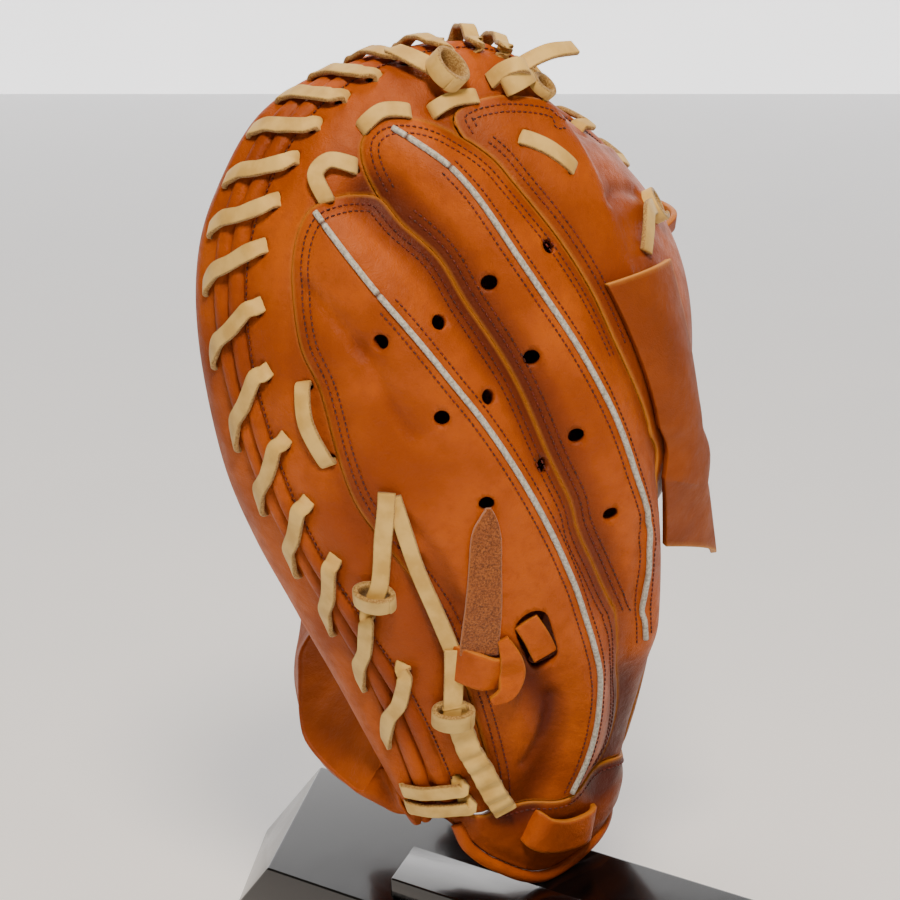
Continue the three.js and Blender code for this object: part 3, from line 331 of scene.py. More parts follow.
rim_numbers = np.hstack([
    rows_in_mm(RIM_ROWS),
    np.array([[row[6] * LIP_REACH, row[7] * PAD_THICKNESS] for row in RIM_ROWS])])
edge_numbers = np.vstack([rim_numbers[:RIM_END + 1, :6], rows_in_mm(WRIST_ROWS)])
EDGE_COUNT = len(edge_numbers)


def frames_at(rows, places):
    row = rows_at(rows, places, True)
    step = 0.05
    onward = unit(rows_at(rows, places + step, True)[..., :3] - rows_at(rows, places - step, True)[..., :3])
    swell = row[..., 3:6]
    back = unit(swell - onward * dots(swell, onward))
    return {"point": row[..., :3], "swell": swell, "back": back, "out": np.cross(back, onward),
            "extra": row[..., 6:]}


def from_frame(f, back, out):
    back, out = np.asarray(back)[..., None], np.asarray(out)[..., None]
    return f["point"] + f["back"] * back + f["out"] * out


def smooth_step(low, high, value):
    t = np.clip((value - low) / (high - low), 0, 1)
    return t * t * (3 - 2 * t)


def laced(places, count):
    return 1 - smooth_step(RIM_END, RIM_END + CORNER, places) + smooth_step(count - CORNER, count, places)


# %% The leather of the back
def back_at(places, shares):
    places = np.asarray(places, float) % EDGE_COUNT
    edge_frames = frames_at(edge_numbers, places)
    rim_frames = frames_at(rim_numbers[:, :6], places)
    near_start = (places < 1)[..., None]
    f = {key: np.where(near_start, rim_frames[key], edge_frames[key])
         for key in ("point", "swell", "back", "out")}
    hold = laced(places, EDGE_COUNT)
    edge = from_frame(f, WELT_SEAT * hold, EDGE_RISE * hold)
    reach = edge - back_middle
    level = reach - middle_facing * dots(reach, middle_facing)
    lead = back_middle + level * MIDDLE_ROUNDNESS
    bend = f["point"] + f["swell"]
    t = np.minimum(shares, 1)[..., None]
    spot = (back_middle * (1 - t) ** 3 + 3 * lead * t * (1 - t) ** 2
            + 3 * bend * t ** 2 * (1 - t) + edge * t ** 3)
    spare = np.maximum(shares - 1, 0)[..., None]
    return spot + unit(edge - bend) * spare * np.linalg.norm(reach, axis=-1, keepdims=True)


# Where the rim rows meet the wrist rows the leather would crease sharply, so it is averaged over its
# neighbours there.
CORNER_PLACE = 26.5
CORNER_SPREAD = 1.1


def bare_back(places, shares):
    places = np.atleast_1d(np.asarray(places, float)) % EDGE_COUNT
    shares = np.broadcast_to(np.asarray(shares, float), places.shape)
    spots = back_at(places, shares)
    away = np.abs((places - CORNER_PLACE + EDGE_COUNT / 2) % EDGE_COUNT - EDGE_COUNT / 2)
    blend = (1 - smooth_step(1.0, 2.4, away)) * (1 - smooth_step(0.82, 0.99, shares))
    near = blend > 0
    if near.any():
        shifts = np.linspace(-CORNER_SPREAD, CORNER_SPREAD, 9)
        weights = 1 + np.cos(shifts / CORNER_SPREAD * math.pi * 0.85)
        soft = sum(w * back_at(places[near] + s, shares[near]) for w, s in zip(weights, shifts))
        soft /= weights.sum()
        spots[near] += (soft - spots[near]) * blend[near][:, None]
    return spots


def bare_flat(flat):
    flat = np.asarray(flat, float)
    places = np.arctan2(flat[..., 1], flat[..., 0]) / (2 * math.pi) * EDGE_COUNT
    spots = bare_back(places, np.hypot(flat[..., 0], flat[..., 1]))
    return spots if flat.ndim > 1 else spots[0]


def flat_spot(places, shares):
    angle = np.asarray(places) / EDGE_COUNT * 2 * math.pi
    return np.stack([np.cos(angle) * shares, np.sin(angle) * shares], -1)


NORMAL_STEP = 0.012


def sides_of(flat):
    flat = np.asarray(flat, float)
    size = np.hypot(flat[..., 0], flat[..., 1])[..., None]
    inner = flat * np.where(size > 1 - NORMAL_STEP, (1 - NORMAL_STEP) / np.maximum(size, 1e-9), 1)
    dx, dy = np.array([NORMAL_STEP, 0]), np.array([0, NORMAL_STEP])
    sideways = (bare_flat(inner + dx) - bare_flat(inner - dx)) / (2 * NORMAL_STEP)
    upwards = (bare_flat(inner + dy) - bare_flat(inner - dy)) / (2 * NORMAL_STEP)
    return sideways, upwards


def off_back(flat):
    sideways, upwards = sides_of(flat)
    return unit(np.cross(upwards, sideways))


def evenly(rows, step):
    rows = np.asarray(rows, float)
    fine = rows_at(rows, np.linspace(0, len(rows) - 1, 40 * (len(rows) - 1) + 1))
    length = np.concatenate([[0], np.cumsum(np.linalg.norm(np.diff(bare_flat(fine[:, :2]), axis=0), axis=1))])
    count = max(2, int(round(length[-1] / step)) + 1)
    marks = np.linspace(0, length[-1], count)
    return np.stack([np.interp(marks, length, fine[:, k]) for k in range(fine.shape[1])], -1)


def distance_to(line, points):
    best = np.full(len(points), np.inf)
    for a, b in zip(line[:-1], line[1:]):
        along = b - a
        t = np.clip(((points - a) @ along) / (along @ along), 0, 1)
        best = np.minimum(best, ((points - a - t[:, None] * along) ** 2).sum(1))
    return np.sqrt(best)


RELIEF_STEP = 6.0
relief_lines = [(bare_flat(evenly(line, RELIEF_STEP)), width, share * RELIEF_DEPTH)
                for line, width, share in RELIEFS]


def relief_at(spots, shares):
    total = np.zeros(len(spots))
    for line, width, height in relief_lines:
        total += height * np.exp(-(distance_to(line, spots) / width) ** 2)
    return total * (1 - smooth_step(RELIEF_END - 0.08, RELIEF_END, shares))


def on_back(flat, lift=0.0):
    flat = np.atleast_2d(np.asarray(flat, float))
    spots = bare_flat(flat)
    rise = relief_at(spots, np.hypot(flat[:, 0], flat[:, 1])) + lift
    return spots + off_back(flat) * rise[:, None]


def moved_flat(flat, offset):
    """The line flat, moved sideways over the leather by offset millimetres."""
    sideways, upwards = sides_of(flat)
    run = np.gradient(bare_flat(flat), axis=0)
    across = unit(np.cross(off_back(flat), run)) * offset
    a, b, c = dots(sideways, sideways), dots(sideways, upwards), dots(upwards, upwards)
    p, q = dots(sideways, across), dots(upwards, across)
    return flat + np.hstack([(c * p - b * q), (a * q - b * p)]) / (a * c - b * b)


pad_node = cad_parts["palm_pad"].data
pad_corners = np.array([v.co for v in pad_node.vertices]) / MM
middle_corner = pad_corners[np.argmin(np.linalg.norm(pad_corners[:, :2] - palm_middle[:2], axis=1))]
mitt_lift = middle_corner[2] - palm_middle[2]
print("the mitt stands", round(float(mitt_lift), 2), "mm over the floor")

# %% [markdown]
# ## Materials
# One small function adds a shader node with its settings and links. Colours are written as sRGB hex, the way a
# picture program shows them, and turned to the linear values that the renderer works with. Pattern sizes come
# from real sizes: hide pores about 0.5 mm apart, wrinkles some 4 mm, the nap of suede about 0.7 mm.

# %% Colour and node helpers
def linear(hex_colour):
    values = [int(hex_colour[k:k + 2], 16) / 255 for k in (1, 3, 5)]
    return [v / 12.92 if v <= 0.04045 else ((v + 0.055) / 1.055) ** 2.4 for v in values] + [1.0]


def add_node(tree, kind, settings=None, **inputs):
    node = tree.nodes.new(kind)
    for key, value in (settings or {}).items():
        setattr(node, key, value)
    for key, value in inputs.items():
        numbered = key[0] == "i" and key[1:].isdigit()
        socket = node.inputs[int(key[1:]) if numbered else key.replace("_", " ")]
        if isinstance(value, bpy.types.NodeSocket):
            tree.links.new(value, socket)
        else:
            socket.default_value = value
    return node


def new_material(name):
    material = bpy.data.materials.new(name)
    material.use_nodes = True
    tree = material.node_tree
    shader = tree.nodes["Principled BSDF"]
    place = add_node(tree, "ShaderNodeTexCoord").outputs["Object"]
    return material, tree, shader, place


def mixed(tree, share, first, second):
    mix = add_node(tree, "ShaderNodeMix", {"data_type": "RGBA"})
    for k, value in ((0, share), (6, first), (7, second)):
        if isinstance(value, bpy.types.NodeSocket):
            tree.links.new(value, mix.inputs[k])
        else:
            mix.inputs[k].default_value = value
    return mix.outputs[2]


def noise(tree, place, size_mm, detail=3.0, roughness=0.5):
    return add_node(tree, "ShaderNodeTexNoise", Vector=place, Scale=1 / (size_mm * MM), Detail=detail,
                    Roughness=roughness).outputs["Fac"]


def ramp(tree, value, low, high):
    return add_node(tree, "ShaderNodeMapRange", {"interpolation_type": "SMOOTHSTEP"},
                    Value=value, i1=low, i2=high).outputs[0]


def bumped(tree, shader, layers):
    normal = None
    for height, distance_mm, strength in layers:
        bump = add_node(tree, "ShaderNodeBump", Height=height, Distance=distance_mm * MM, Strength=strength)
        if normal is not None:
            tree.links.new(normal, bump.inputs["Normal"])
        normal = bump.outputs[0]
    tree.links.new(normal, shader.inputs["Normal"])


def attribute(tree, name):
    return add_node(tree, "ShaderNodeAttribute", {"attribute_name": name}).outputs["Fac"]


print("helpers ready")

# %% [markdown]
# Steerhide for mitts is drum dyed and oiled: a warm orange tan that is lighter where it is stretched, with fine
# pores and a satin sheen. The panels carry two numbers at each corner: "edge", which is one at a cut edge,
# where the raw fibre shows paler, and a number of painted shade, which is one in a deep valley, where the
# colour is painted darker and redder as shade; the same number paints shade on the inner halves of the welts.

# %% Leather
def times(tree, value, share):
    return add_node(tree, "ShaderNodeMath", {"operation": "MULTIPLY"}, i0=value, i1=share).outputs[0]


def cowhide(name, light, dark, painted_shade_and_dark_tone, raw, roughness=0.46, pore=0.6):
    material, tree, shader, place = new_material(name)
    clouds = noise(tree, place, 38, 4)
    mottle = noise(tree, place, 6, 5, 0.6)
    specks = noise(tree, place, 1.4, 3, 0.7)
    colour = mixed(tree, ramp(tree, clouds, 0.34, 0.68), linear(light), linear(dark))
    colour = mixed(tree, times(tree, ramp(tree, mottle, 0.42, 0.72), 0.45), colour, linear(dark))
    colour = mixed(tree, times(tree, ramp(tree, specks, 0.60, 0.80), 0.25), colour, linear(painted_shade_and_dark_tone))
    # Painted shade: the colour is pulled towards the third colour where the painted shade number is high.
    colour = mixed(tree, attribute(tree, "painted_shade_and_dark_tone"), colour, linear(painted_shade_and_dark_tone))
    colour = mixed(tree, attribute(tree, "edge"), colour, linear(raw))
    tree.links.new(colour, shader.inputs["Base Color"])
    rough = add_node(tree, "ShaderNodeMapRange", Value=mottle, i1=0.3, i2=0.7, i3=roughness - 0.07,
                     i4=roughness + 0.10).outputs[0]
    tree.links.new(rough, shader.inputs["Roughness"])
    shader.inputs["Specular IOR Level"].default_value = 0.20
    pores = add_node(tree, "ShaderNodeTexVoronoi", Vector=place, Scale=1 / (pore * MM)).outputs["Distance"]
    wrinkles = noise(tree, place, 2.6, 6, 0.66)
    creases = add_node(tree, "ShaderNodeTexNoise", {"noise_type": "RIDGED_MULTIFRACTAL"}, Vector=place,
                       Scale=1 / (22 * MM), Detail=4.0, Roughness=0.55).outputs["Fac"]
    dents = noise(tree, place, 13, 3, 0.5)
    bumped(tree, shader, [
        (dents, 2.2, 0.55), (creases, 0.8, 0.40), (wrinkles, 0.55, 0.60), (pores, 0.16, 0.60)])
    return material


# The third colour of each leather is the dark tone of its specks and the colour of its painted shade.
back_leather = cowhide("steerhide_back", "#B5560C", "#934004", "#521A05", "#C8812F")
palm_leather = cowhide("steerhide_palm", "#B0540C", "#8E3E05", "#521A05", "#C8812F", 0.50)
welt_leather = cowhide("steerhide_welt", "#B1530C", "#8A3A04", "#481504", "#C8812F", 0.46)
flap_leather = cowhide("steerhide_flap", "#9A4A0C", "#823A08", "#3C1203", "#CB8A3E", 0.55, 0.5)
print("leathers ready")


# %% Lace, thread, piping, suede and stand
def rawhide_lace():
    material, tree, shader, place = new_material("rawhide_lace")
    tone = ramp(tree, noise(tree, place, 9, 4), 0.35, 0.68)
    colour = mixed(tree, tone, linear("#DDB968"), linear("#C69E4E"))
    fuzz = noise(tree, place, 0.7, 3, 0.7)
    raw = mixed(tree, ramp(tree, fuzz, 0.4, 0.62), linear("#8E6A34"), linear("#BD9A5C"))
    colour = mixed(tree, attribute(tree, "cut"), colour, raw)
    tree.links.new(colour, shader.inputs["Base Color"])
    shader.inputs["Roughness"].default_value = 0.62
    shader.inputs["Sheen Weight"].default_value = 0.15
    shader.inputs["Specular IOR Level"].default_value = 0.35
    rough_cut = times(tree, fuzz, attribute(tree, "cut"))
    bumped(tree, shader, [(noise(tree, place, 2.2, 4, 0.6), 0.2, 0.3), (rough_cut, 0.5, 0.7)])
    return material


def waxed_thread():
    material, tree, shader, place = new_material("waxed_thread")
    tone = ramp(tree, noise(tree, place, 1.6, 2), 0.35, 0.65)
    tree.links.new(mixed(tree, tone, linear("#6A1E0C"), linear("#3A0E04")), shader.inputs["Base Color"])
    shader.inputs["Roughness"].default_value = 0.5
    bumped(tree, shader, [(noise(tree, place, 0.4, 2), 0.08, 0.5)])
    return material


def piping_cover():
    material, tree, shader, place = new_material("piping_vinyl")
    speck = noise(tree, place, 1.1, 4, 0.7)
    colour = mixed(tree, ramp(tree, speck, 0.34, 0.62), linear("#8A8880"), linear("#C6C4BC"))
    colour = mixed(tree, attribute(tree, "tie"), colour, linear("#4A1C12"))
    tree.links.new(colour, shader.inputs["Base Color"])
    shader.inputs["Roughness"].default_value = 0.55
    bumped(tree, shader, [(speck, 0.12, 0.5)])
    return material


def suede():
    material, tree, shader, place = new_material("suede_strap")
    nap = noise(tree, place, 0.75, 4, 0.75)
    patch = noise(tree, place, 6, 3)
    colour = mixed(tree, ramp(tree, nap, 0.38, 0.62), linear("#5E2C0E"), linear("#A45E26"))
    colour = mixed(tree, times(tree, ramp(tree, patch, 0.4, 0.7), 0.3), colour, linear("#7A3A14"))
    colour = mixed(tree, attribute(tree, "cut"), colour, linear("#C0702C"))
    tree.links.new(colour, shader.inputs["Base Color"])
    shader.inputs["Roughness"].default_value = 0.95
    shader.inputs["Sheen Weight"].default_value = 0.4
    shader.inputs["Sheen Roughness"].default_value = 0.5
    shader.inputs["Specular IOR Level"].default_value = 0.2
    bumped(tree, shader, [(nap, 0.5, 0.8)])
    return material


def moulded_gloss():
    material, tree, shader, place = new_material("glossy_abs")
    smudge = noise(tree, place, 30, 3)
    tree.links.new(mixed(tree, smudge, linear("#050506"), linear("#0A0A0C")), shader.inputs["Base Color"])
    rough = add_node(tree, "ShaderNodeMapRange", Value=smudge, i1=0.3, i2=0.7, i3=0.12, i4=0.24).outputs[0]
    tree.links.new(rough, shader.inputs["Roughness"])
    shader.inputs["Coat Weight"].default_value = 0.3
    shader.inputs["Coat Roughness"].default_value = 0.08
    bumped(tree, shader, [(noise(tree, place, 60, 2), 0.3, 0.1)])
    return material


lace_material = rawhide_lace()
thread_material = waxed_thread()
piping_material = piping_cover()
suede_material = suede()
stand_material = moulded_gloss()
print("materials:", len(bpy.data.materials))

# %% [markdown]
# ## Making pieces
# Every finished piece is one mesh at the origin, in metres, riding on the only body. Panels, laces and welts
# are made in mesh code, because their shapes follow the formulas above; modifiers then give leather its
# thickness.

# %% Piece helpers
def make_piece(name, points, faces, material, numbers=None, smooth=True):
    mesh = bpy.data.meshes.new(name)
    metres = (np.asarray(points) + [0, 0, mitt_lift]) * MM
    mesh.from_pydata(metres.tolist(), [], [list(map(int, face)) for face in faces])
    for key, values in (numbers or {}).items():
        layer = mesh.attributes.new(key, "FLOAT", "POINT")
        layer.data.foreach_set("value", np.asarray(values, np.float32))
    mesh.materials.append(material)
    if smooth:
        mesh.polygons.foreach_set("use_smooth", [True] * len(mesh.polygons))
    piece = bpy.data.objects.new(name, mesh)
    bpy.context.scene.collection.objects.link(piece)
    return piece


def apply_modifiers(piece):
    bpy.ops.object.select_all(action="DESELECT")
    bpy.context.view_layer.objects.active = piece
    piece.select_set(True)
    for modifier in list(piece.modifiers):
        bpy.ops.object.modifier_apply(modifier=modifier.name)
    piece.select_set(False)


def hand_over(piece, slot, *nodes):
    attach(piece, "root")
    if nodes:
        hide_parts(*nodes)
    return piece


def ring_faces(lines, size, closed_lines=False):
    faces = []
    count = lines if closed_lines else lines - 1
    for k in range(count):
        for c in range(size):
            d = (c + 1) % size
            n = (k + 1) % lines
            faces.append([k * size + c, k * size + d, n * size + d, n * size + c])
    return faces


def sweep(points, normals, section, widths=None, heights=None):
    """Corners and faces of a section [across, up] carried along a line, with flat end caps."""
    points, section = np.asarray(points), np.asarray(section)
    onward = unit(np.gradient(points, axis=0))
    side = unit(np.cross(onward, normals))
    top = np.cross(side, onward)
    widths = np.ones(len(points)) if widths is None else np.asarray(widths)
    heights = np.ones(len(points)) if heights is None else np.asarray(heights)
    corners = (points[:, None] + side[:, None] * (section[None, :, :1] * widths[:, None, None])
               + top[:, None] * (section[None, :, 1:] * heights[:, None, None]))
    size = len(section)
    faces = ring_faces(len(points), size)
    faces.append(list(range(size))[::-1])
    faces.append([(len(points) - 1) * size + c for c in range(size)])
    return corners.reshape(-1, 3), faces


def round_section(radius, sides):
    turn = (np.arange(sides) + 0.5) / sides * 2 * math.pi
    return np.stack([radius * np.cos(turn), radius * np.sin(turn)], -1)


def strip_section(width, thickness):
    """A flat strip with narrow bevels, and for each corner whether it lies on cut leather."""
    w, t = width / 2, thickness / 2
    e = 0.16 * thickness
    top = [[-w + e, t], [-0.8 * w, t + 0.03], [0, t + 0.06], [0.8 * w, t + 0.03], [w - e, t]]
    right = [[w, t - e], [w + 0.05, 0], [w, -t + e]]
    under = [[w - e, -t], [0, -t], [-w + e, -t]]
    left = [[-w, -t + e], [-w - 0.05, 0], [-w, t - e]]
    cut = [0.1, 0, 0, 0, 0.1] + [1, 1, 1] + [1, 1, 1] + [1, 1, 1]
    return np.array(top + right + under + left), cut


def smooth_normals(normals, rounds=2):
    normals = np.asarray(normals, float)
    for _ in range(rounds):
        wide = np.vstack([normals[:1], normals, normals[-1:]])
        normals = unit(wide[:-2] + 2 * wide[1:-1] + wide[2:])
    return normals


def strip(points, normals, width, thickness, parts=9, widths=None, wobble=0.0):
    """One strip of leather or lace through a few points, with a smooth run between them."""
    places = np.linspace(0, len(points) - 1, (len(points) - 1) * parts + 1)
    line = rows_at(points, places)
    up = smooth_normals(unit(rows_at(normals, places)))
    share = np.ones(len(line)) if widths is None else rows_at(np.array(widths)[:, None], places)[:, 0]
    share = share * (1 + wobble * np.sin(places * 2.3 + line[0, 0]))
    section, cut = strip_section(width, thickness)
    corners, faces = sweep(line, up, section, share)
    return corners, faces, np.tile(cut, len(line))


def joined(parts):
    corners, faces, numbers = [], [], []
    start = 0
    for part in parts:
        corners.append(part[0])
        faces += [[k + start for k in face] for face in part[1]]
        numbers.append(part[2])
        start += len(part[0])
    return np.vstack(corners), faces, np.concatenate(numbers)


print("piece helpers ready")

# %% [markdown]
# ## The back
# On the real mitt the back is cut from several panels: each finger has its own stall, sewn down along its
# edge over the panel below. The panels are made together: seams, vent holes and lace holes are drawn on the
# flat disc, the disc is triangulated so that every line keeps its place, and the triangles are then shared out
# to the panels, starting from a place inside each. Solidify gives every panel its wall.

# %% Lines and holes on the flat disc
MESH_STEP = 0.0095
SEAM_STEP_MM = 1.6
STITCH_SHARE = 1 - (STITCH_HOLE - WELT_SEAT) / MITT_DEPTH * 1.1
seams = [RING_OUTLINE, MIDDLE_OUTLINE, INDEX_OUTLINE, THUMB_OUTLINE, BAND_OUTLINE]


def seam_line(rows, step):
    rows = np.asarray(rows, float)
    pieces = []
    for k in range(len(rows) - 1):
        count = max(1, int(round(np.linalg.norm(bare_flat(rows[k + 1]) - bare_flat(rows[k])) / step)))
        pieces.append(rows_at(rows, k + np.arange(count) / count))
    return np.vstack(pieces + [rows[-1:]])


def oval(flat, half_long, half_wide, direction, count=16):
    """A ring of flat places round an oval hole; its long half lies along direction on the leather."""
    sideways, upwards = sides_of(np.array([flat]))
    off = off_back(np.array([flat]))[0]
    along = unit(direction - off * (direction @ off))
    across = np.cross(off, along)
    turn = np.arange(count) / count * 2 * math.pi
    reach = along * (half_long * np.cos(turn))[:, None] + across * (half_wide * np.sin(turn))[:, None]
    to_flat = np.linalg.pinv(np.stack([sideways[0], upwards[0]], -1))
    return np.asarray(flat) + reach @ to_flat.T


def rim_direction(place):
    f = frames_at(rim_numbers[:, :6], np.array([place]))
    return np.cross(f["back"], f["out"])[0]


holes = [oval(vent, VENT_RADIUS, VENT_RADIUS, np.array([1.0, 0, 0]), 20) for vent in VENTS]
HOLE_LONG, HOLE_WIDE = 3.5, 1.9
lace_holes = []
for place, lean in STITCHES + HEEL_WRAPS:
    lace_holes.append(flat_spot(place, STITCH_SHARE))
for rows in ACCENTS.values():
    lace_holes += [np.array(rows[0][:2]), np.array(rows[-1][:2])]
for k, flat in enumerate(lace_holes):
    if k < len(STITCHES) + len(HEEL_WRAPS):
        direction = rim_direction((STITCHES + HEEL_WRAPS)[k][0])
    else:
        rows = list(ACCENTS.values())[(k - len(STITCHES) - len(HEEL_WRAPS)) // 2]
        run = bare_flat(np.array(rows[-1][:2])) - bare_flat(np.array(rows[0][:2]))
        direction = np.cross(off_back(np.array([flat]))[0], run)
    holes.append(oval(flat, HOLE_LONG, HOLE_WIDE, direction))
slot_turn = np.linspace(0, len(SLOT_CORNERS), 5 * len(SLOT_CORNERS), endpoint=False)
holes.append(rows_at(SLOT_CORNERS, slot_turn, True))
print("holes in the back:", len(holes))


# %% Triangles of the flat disc
def disc_triangles():
    points, edges = [], []

    def add_line(line, closed):
        start = len(points)
        points.extend(map(tuple, line))
        edges.extend((start + k, start + k + 1) for k in range(len(line) - 1))
        if closed:
            edges.append((start + len(line) - 1, start))

    circle_turn = np.arange(27 * 26) / (27 * 26) * 2 * math.pi
    add_line(np.stack([np.cos(circle_turn), np.sin(circle_turn)], -1), True)
    for rows in seams:
        add_line(seam_line(rows, SEAM_STEP_MM), False)
    for ring in holes:
        add_line(ring, True)
    for rows in seams:
        line = seam_line(rows, SEAM_STEP_MM)
        for offset in (-1.5, -0.6, 0.6, 1.5):
            points.extend(map(tuple, moved_flat(line, offset)))
    taken = KDTree(len(points))
    for k, (x, y) in enumerate(points):
        taken.insert((x, y, 0), k)
    taken.balance()
    rows_up = int(2 / (MESH_STEP * 0.866)) + 1
    for j in range(rows_up):
        y = -1 + j * MESH_STEP * 0.866
        for i in range(int(2 / MESH_STEP) + 1):
            x = -1 + (i + 0.5 * (j % 2)) * MESH_STEP
            if x * x + y * y < (1 - 0.5 * MESH_STEP) ** 2 and taken.find((x, y, 0))[2] > 0.6 * MESH_STEP:
                points.append((x, y))
    spots, lines, faces, _, line_from, _ = delaunay_2d_cdt([Vector(p) for p in points], edges, [], 0, 1e-7)
    flat = np.array([(p.x, p.y) for p in spots])
    fences = {frozenset(line) for line, source in zip(lines, line_from) if source}
    return flat, [tuple(face) for face in faces], fences


def shared_out(flat, faces, fences):
    """For each panel, the triangles that can be reached from its place without crossing a line."""
    beside = {}
    for k, face in enumerate(faces):
        for a, b in zip(face, face[1:] + face[:1]):
            beside.setdefault(frozenset((a, b)), []).append(k)
    centres = flat[np.array(faces)].mean(1)
    panels = {}
    for name, (spot, level) in PANELS.items():
        seed = int(np.argmin(((centres - spot) ** 2).sum(1)))
        found, waiting = {seed}, [seed]
        while waiting:
            face = faces[waiting.pop()]
            for a, b in zip(face, face[1:] + face[:1]):
                edge = frozenset((a, b))
                if edge in fences:
                    continue
                for other in beside[edge]:
                    if other not in found:
                        found.add(other)
                        waiting.append(other)
        panels[name] = found
    in_holes = np.zeros(len(faces), bool)
    for ring in holes:
        ahead = np.roll(ring, -1, axis=0)
        crossings = np.zeros(len(faces), int)
        for (x0, y0), (x1, y1) in zip(ring, ahead):
            between = (centres[:, 1] > y0) != (centres[:, 1] > y1)
            step = np.where(between, (centres[:, 1] - y0) / (y1 - y0 if y1 != y0 else 1), 0)
            crossings += between & (centres[:, 0] < x0 + step * (x1 - x0))
        in_holes |= crossings % 2 == 1
    left = set(np.flatnonzero(~in_holes).tolist()) - set().union(*panels.values())
    while left:
        joined_now = 0
        for name, found in panels.items():
            touching = {k for k in left if any(
                other in found for a, b in zip(faces[k], faces[k][1:] + faces[k][:1])
                for other in beside[frozenset((a, b))])}
            found |= touching
            left -= touching
            joined_now += len(touching)
        if not joined_now:
            break
    return {name: np.array([faces[k] for k in sorted(found)]) for name, found in panels.items()}


flat_places, flat_faces, flat_fences = disc_triangles()
panel_faces = shared_out(flat_places, flat_faces, flat_fences)
print({name: len(faces) for name, faces in panel_faces.items()})

# %% [markdown]
# The panels are raised one over the other by their levels, the cut edges are rounded off, and each lace hole
# gets the little dimple that a tight lace pulls into leather. A higher panel has a deeper wall, so that no gap
# opens between neighbours.

# %% Panels
seam_lines_mm = [bare_flat(seam_line(rows, 3.0)) for rows in seams]
WALL = 1.5
EDGE_ROUND = 0.55
# Valley depth at which the painted shade is full, and a darkening of whole panels that is partly darker leather
# and partly painted shade, strongest on the thumb panel and the wrist band.
FULL_SHADE_DEPTH = 4.5
PANEL_DARK_TONE_AND_SHADE = {"rim_panel": 0.0, "ring_finger_stall": 0.02, "middle_finger_stall": 0.0, "index_panel": 0.0,
              "thumb_panel": 0.45, "wrist_band": 0.50}


def make_panels():
    spots = bare_flat(flat_places)
    shares = np.hypot(flat_places[:, 0], flat_places[:, 1])
    relief = relief_at(spots, shares)
    off = off_back(flat_places)
    to_seam = np.min([distance_to(line, spots) for line in seam_lines_mm], axis=0)
    dimples = np.zeros(len(spots))
    for flat in lace_holes:
        gap = np.linalg.norm(spots - bare_flat(flat), axis=1)
        dimples -= 0.8 * np.exp(-(gap / 5.0) ** 2)
    for name, (_, level) in PANELS.items():
        faces = panel_faces[name]
        used, renamed = np.unique(faces, return_inverse=True)
        rounding = EDGE_ROUND * np.exp(-(to_seam[used] / 0.8) ** 2)
        rim_fade = 1 - smooth_step(0.93, 1.0, shares[used])
        rise = relief[used] + dimples[used] + level * rim_fade - rounding
        points = spots[used] + off[used] * rise[:, None]
        # The second number is painted shade: darker by the depth of the valley, plus the darkening of the whole
        # panel.
        numbers = {
            "edge": 0.75 * np.exp(-(to_seam[used] / 0.6) ** 2),
            "painted_shade_and_dark_tone": np.clip(np.clip(-relief[used] / FULL_SHADE_DEPTH, 0, 1) ** 0.9 * 0.95 + PANEL_DARK_TONE_AND_SHADE[name], 0, 1)}
        outward = renamed.reshape(faces.shape)[:, ::-1]
        piece = make_piece(name + "_leather", points, outward, back_leather, numbers)
        wall = piece.modifiers.new("wall", "SOLIDIFY")
        wall.thickness = (WALL + level) * MM
        wall.offset = -1
        apply_modifiers(piece)
        hand_over(piece, "leather", name)
        print(name, len(piece.data.polygons))


make_panels()

# %% [markdown]
# ## The palm
# The palm is a padded body: a smooth lip swells over the rim, dips into the ball pocket, and turns in again at
# the heel. Its section at each place of the rim comes from the lip and body shares of the table.

# %% Palm pad
PAD_SPOKES = 24 * 12
CONTACT_SHARES = [1, 0.95, 0.89]


def bezier(a, b, c, d, t):
    return a * (1 - t) ** 3 + 3 * b * t * (1 - t) ** 2 + 3 * c * t ** 2 * (1 - t) + d * t ** 3


def pad_profile(places):
    f = frames_at(rim_numbers, places)
    lip, thick = f["extra"][:, 0], f["extra"][:, 1]
    hold = laced(places, len(rim_numbers))
    groove = WELT_RADIUS + 0.9
    front = -WELT_SEAT - lip
    zero = np.zeros(len(places))
    on_rim = [
        (zero + WELT_SEAT - SEAT_GAP, zero - groove), (zero - WELT_SEAT + SEAT_GAP, zero - groove),
        (zero - WELT_SEAT, zero + EDGE_RISE), (-WELT_SEAT - 0.5 * lip, zero + EDGE_RISE + 1),
        (front, 0.5 - 0.1 * thick), (front - 2, -0.45 * thick), (front + 2, -0.8 * thick)]
    on_heel = [
        (0.42 * thick, zero - 2.4), (0.1 * thick, zero), (-0.3 * thick, zero - 0.96),
        (-0.5 * thick, zero - 5.04), (-0.55 * thick, zero - 10.1), (-0.6 * thick, zero - 16.1),
        (-0.65 * thick, zero - 24)]
    outline = [from_frame(f, h[0] + (r[0] - h[0]) * hold, h[1] + (r[1] - h[1]) * hold)
               for r, h in zip(on_rim, on_heel)]
    heel_inner = [(0.5 * thick, zero - 8), (0.55 * thick, zero - 13), (0.55 * thick, zero - 18)]
    edge_place = np.minimum(np.where(places > 21, 0, places), RIM_END)
    inner = []
    for share, (back, out) in zip(CONTACT_SHARES, heel_inner):
        on_rim_inner = on_back(flat_spot(edge_place, share), -BACK_WALL - SEAT_GAP)
        inner.append(from_frame(f, back, out) * (1 - hold[:, None]) + on_rim_inner * hold[:, None])
    return f, outline, inner


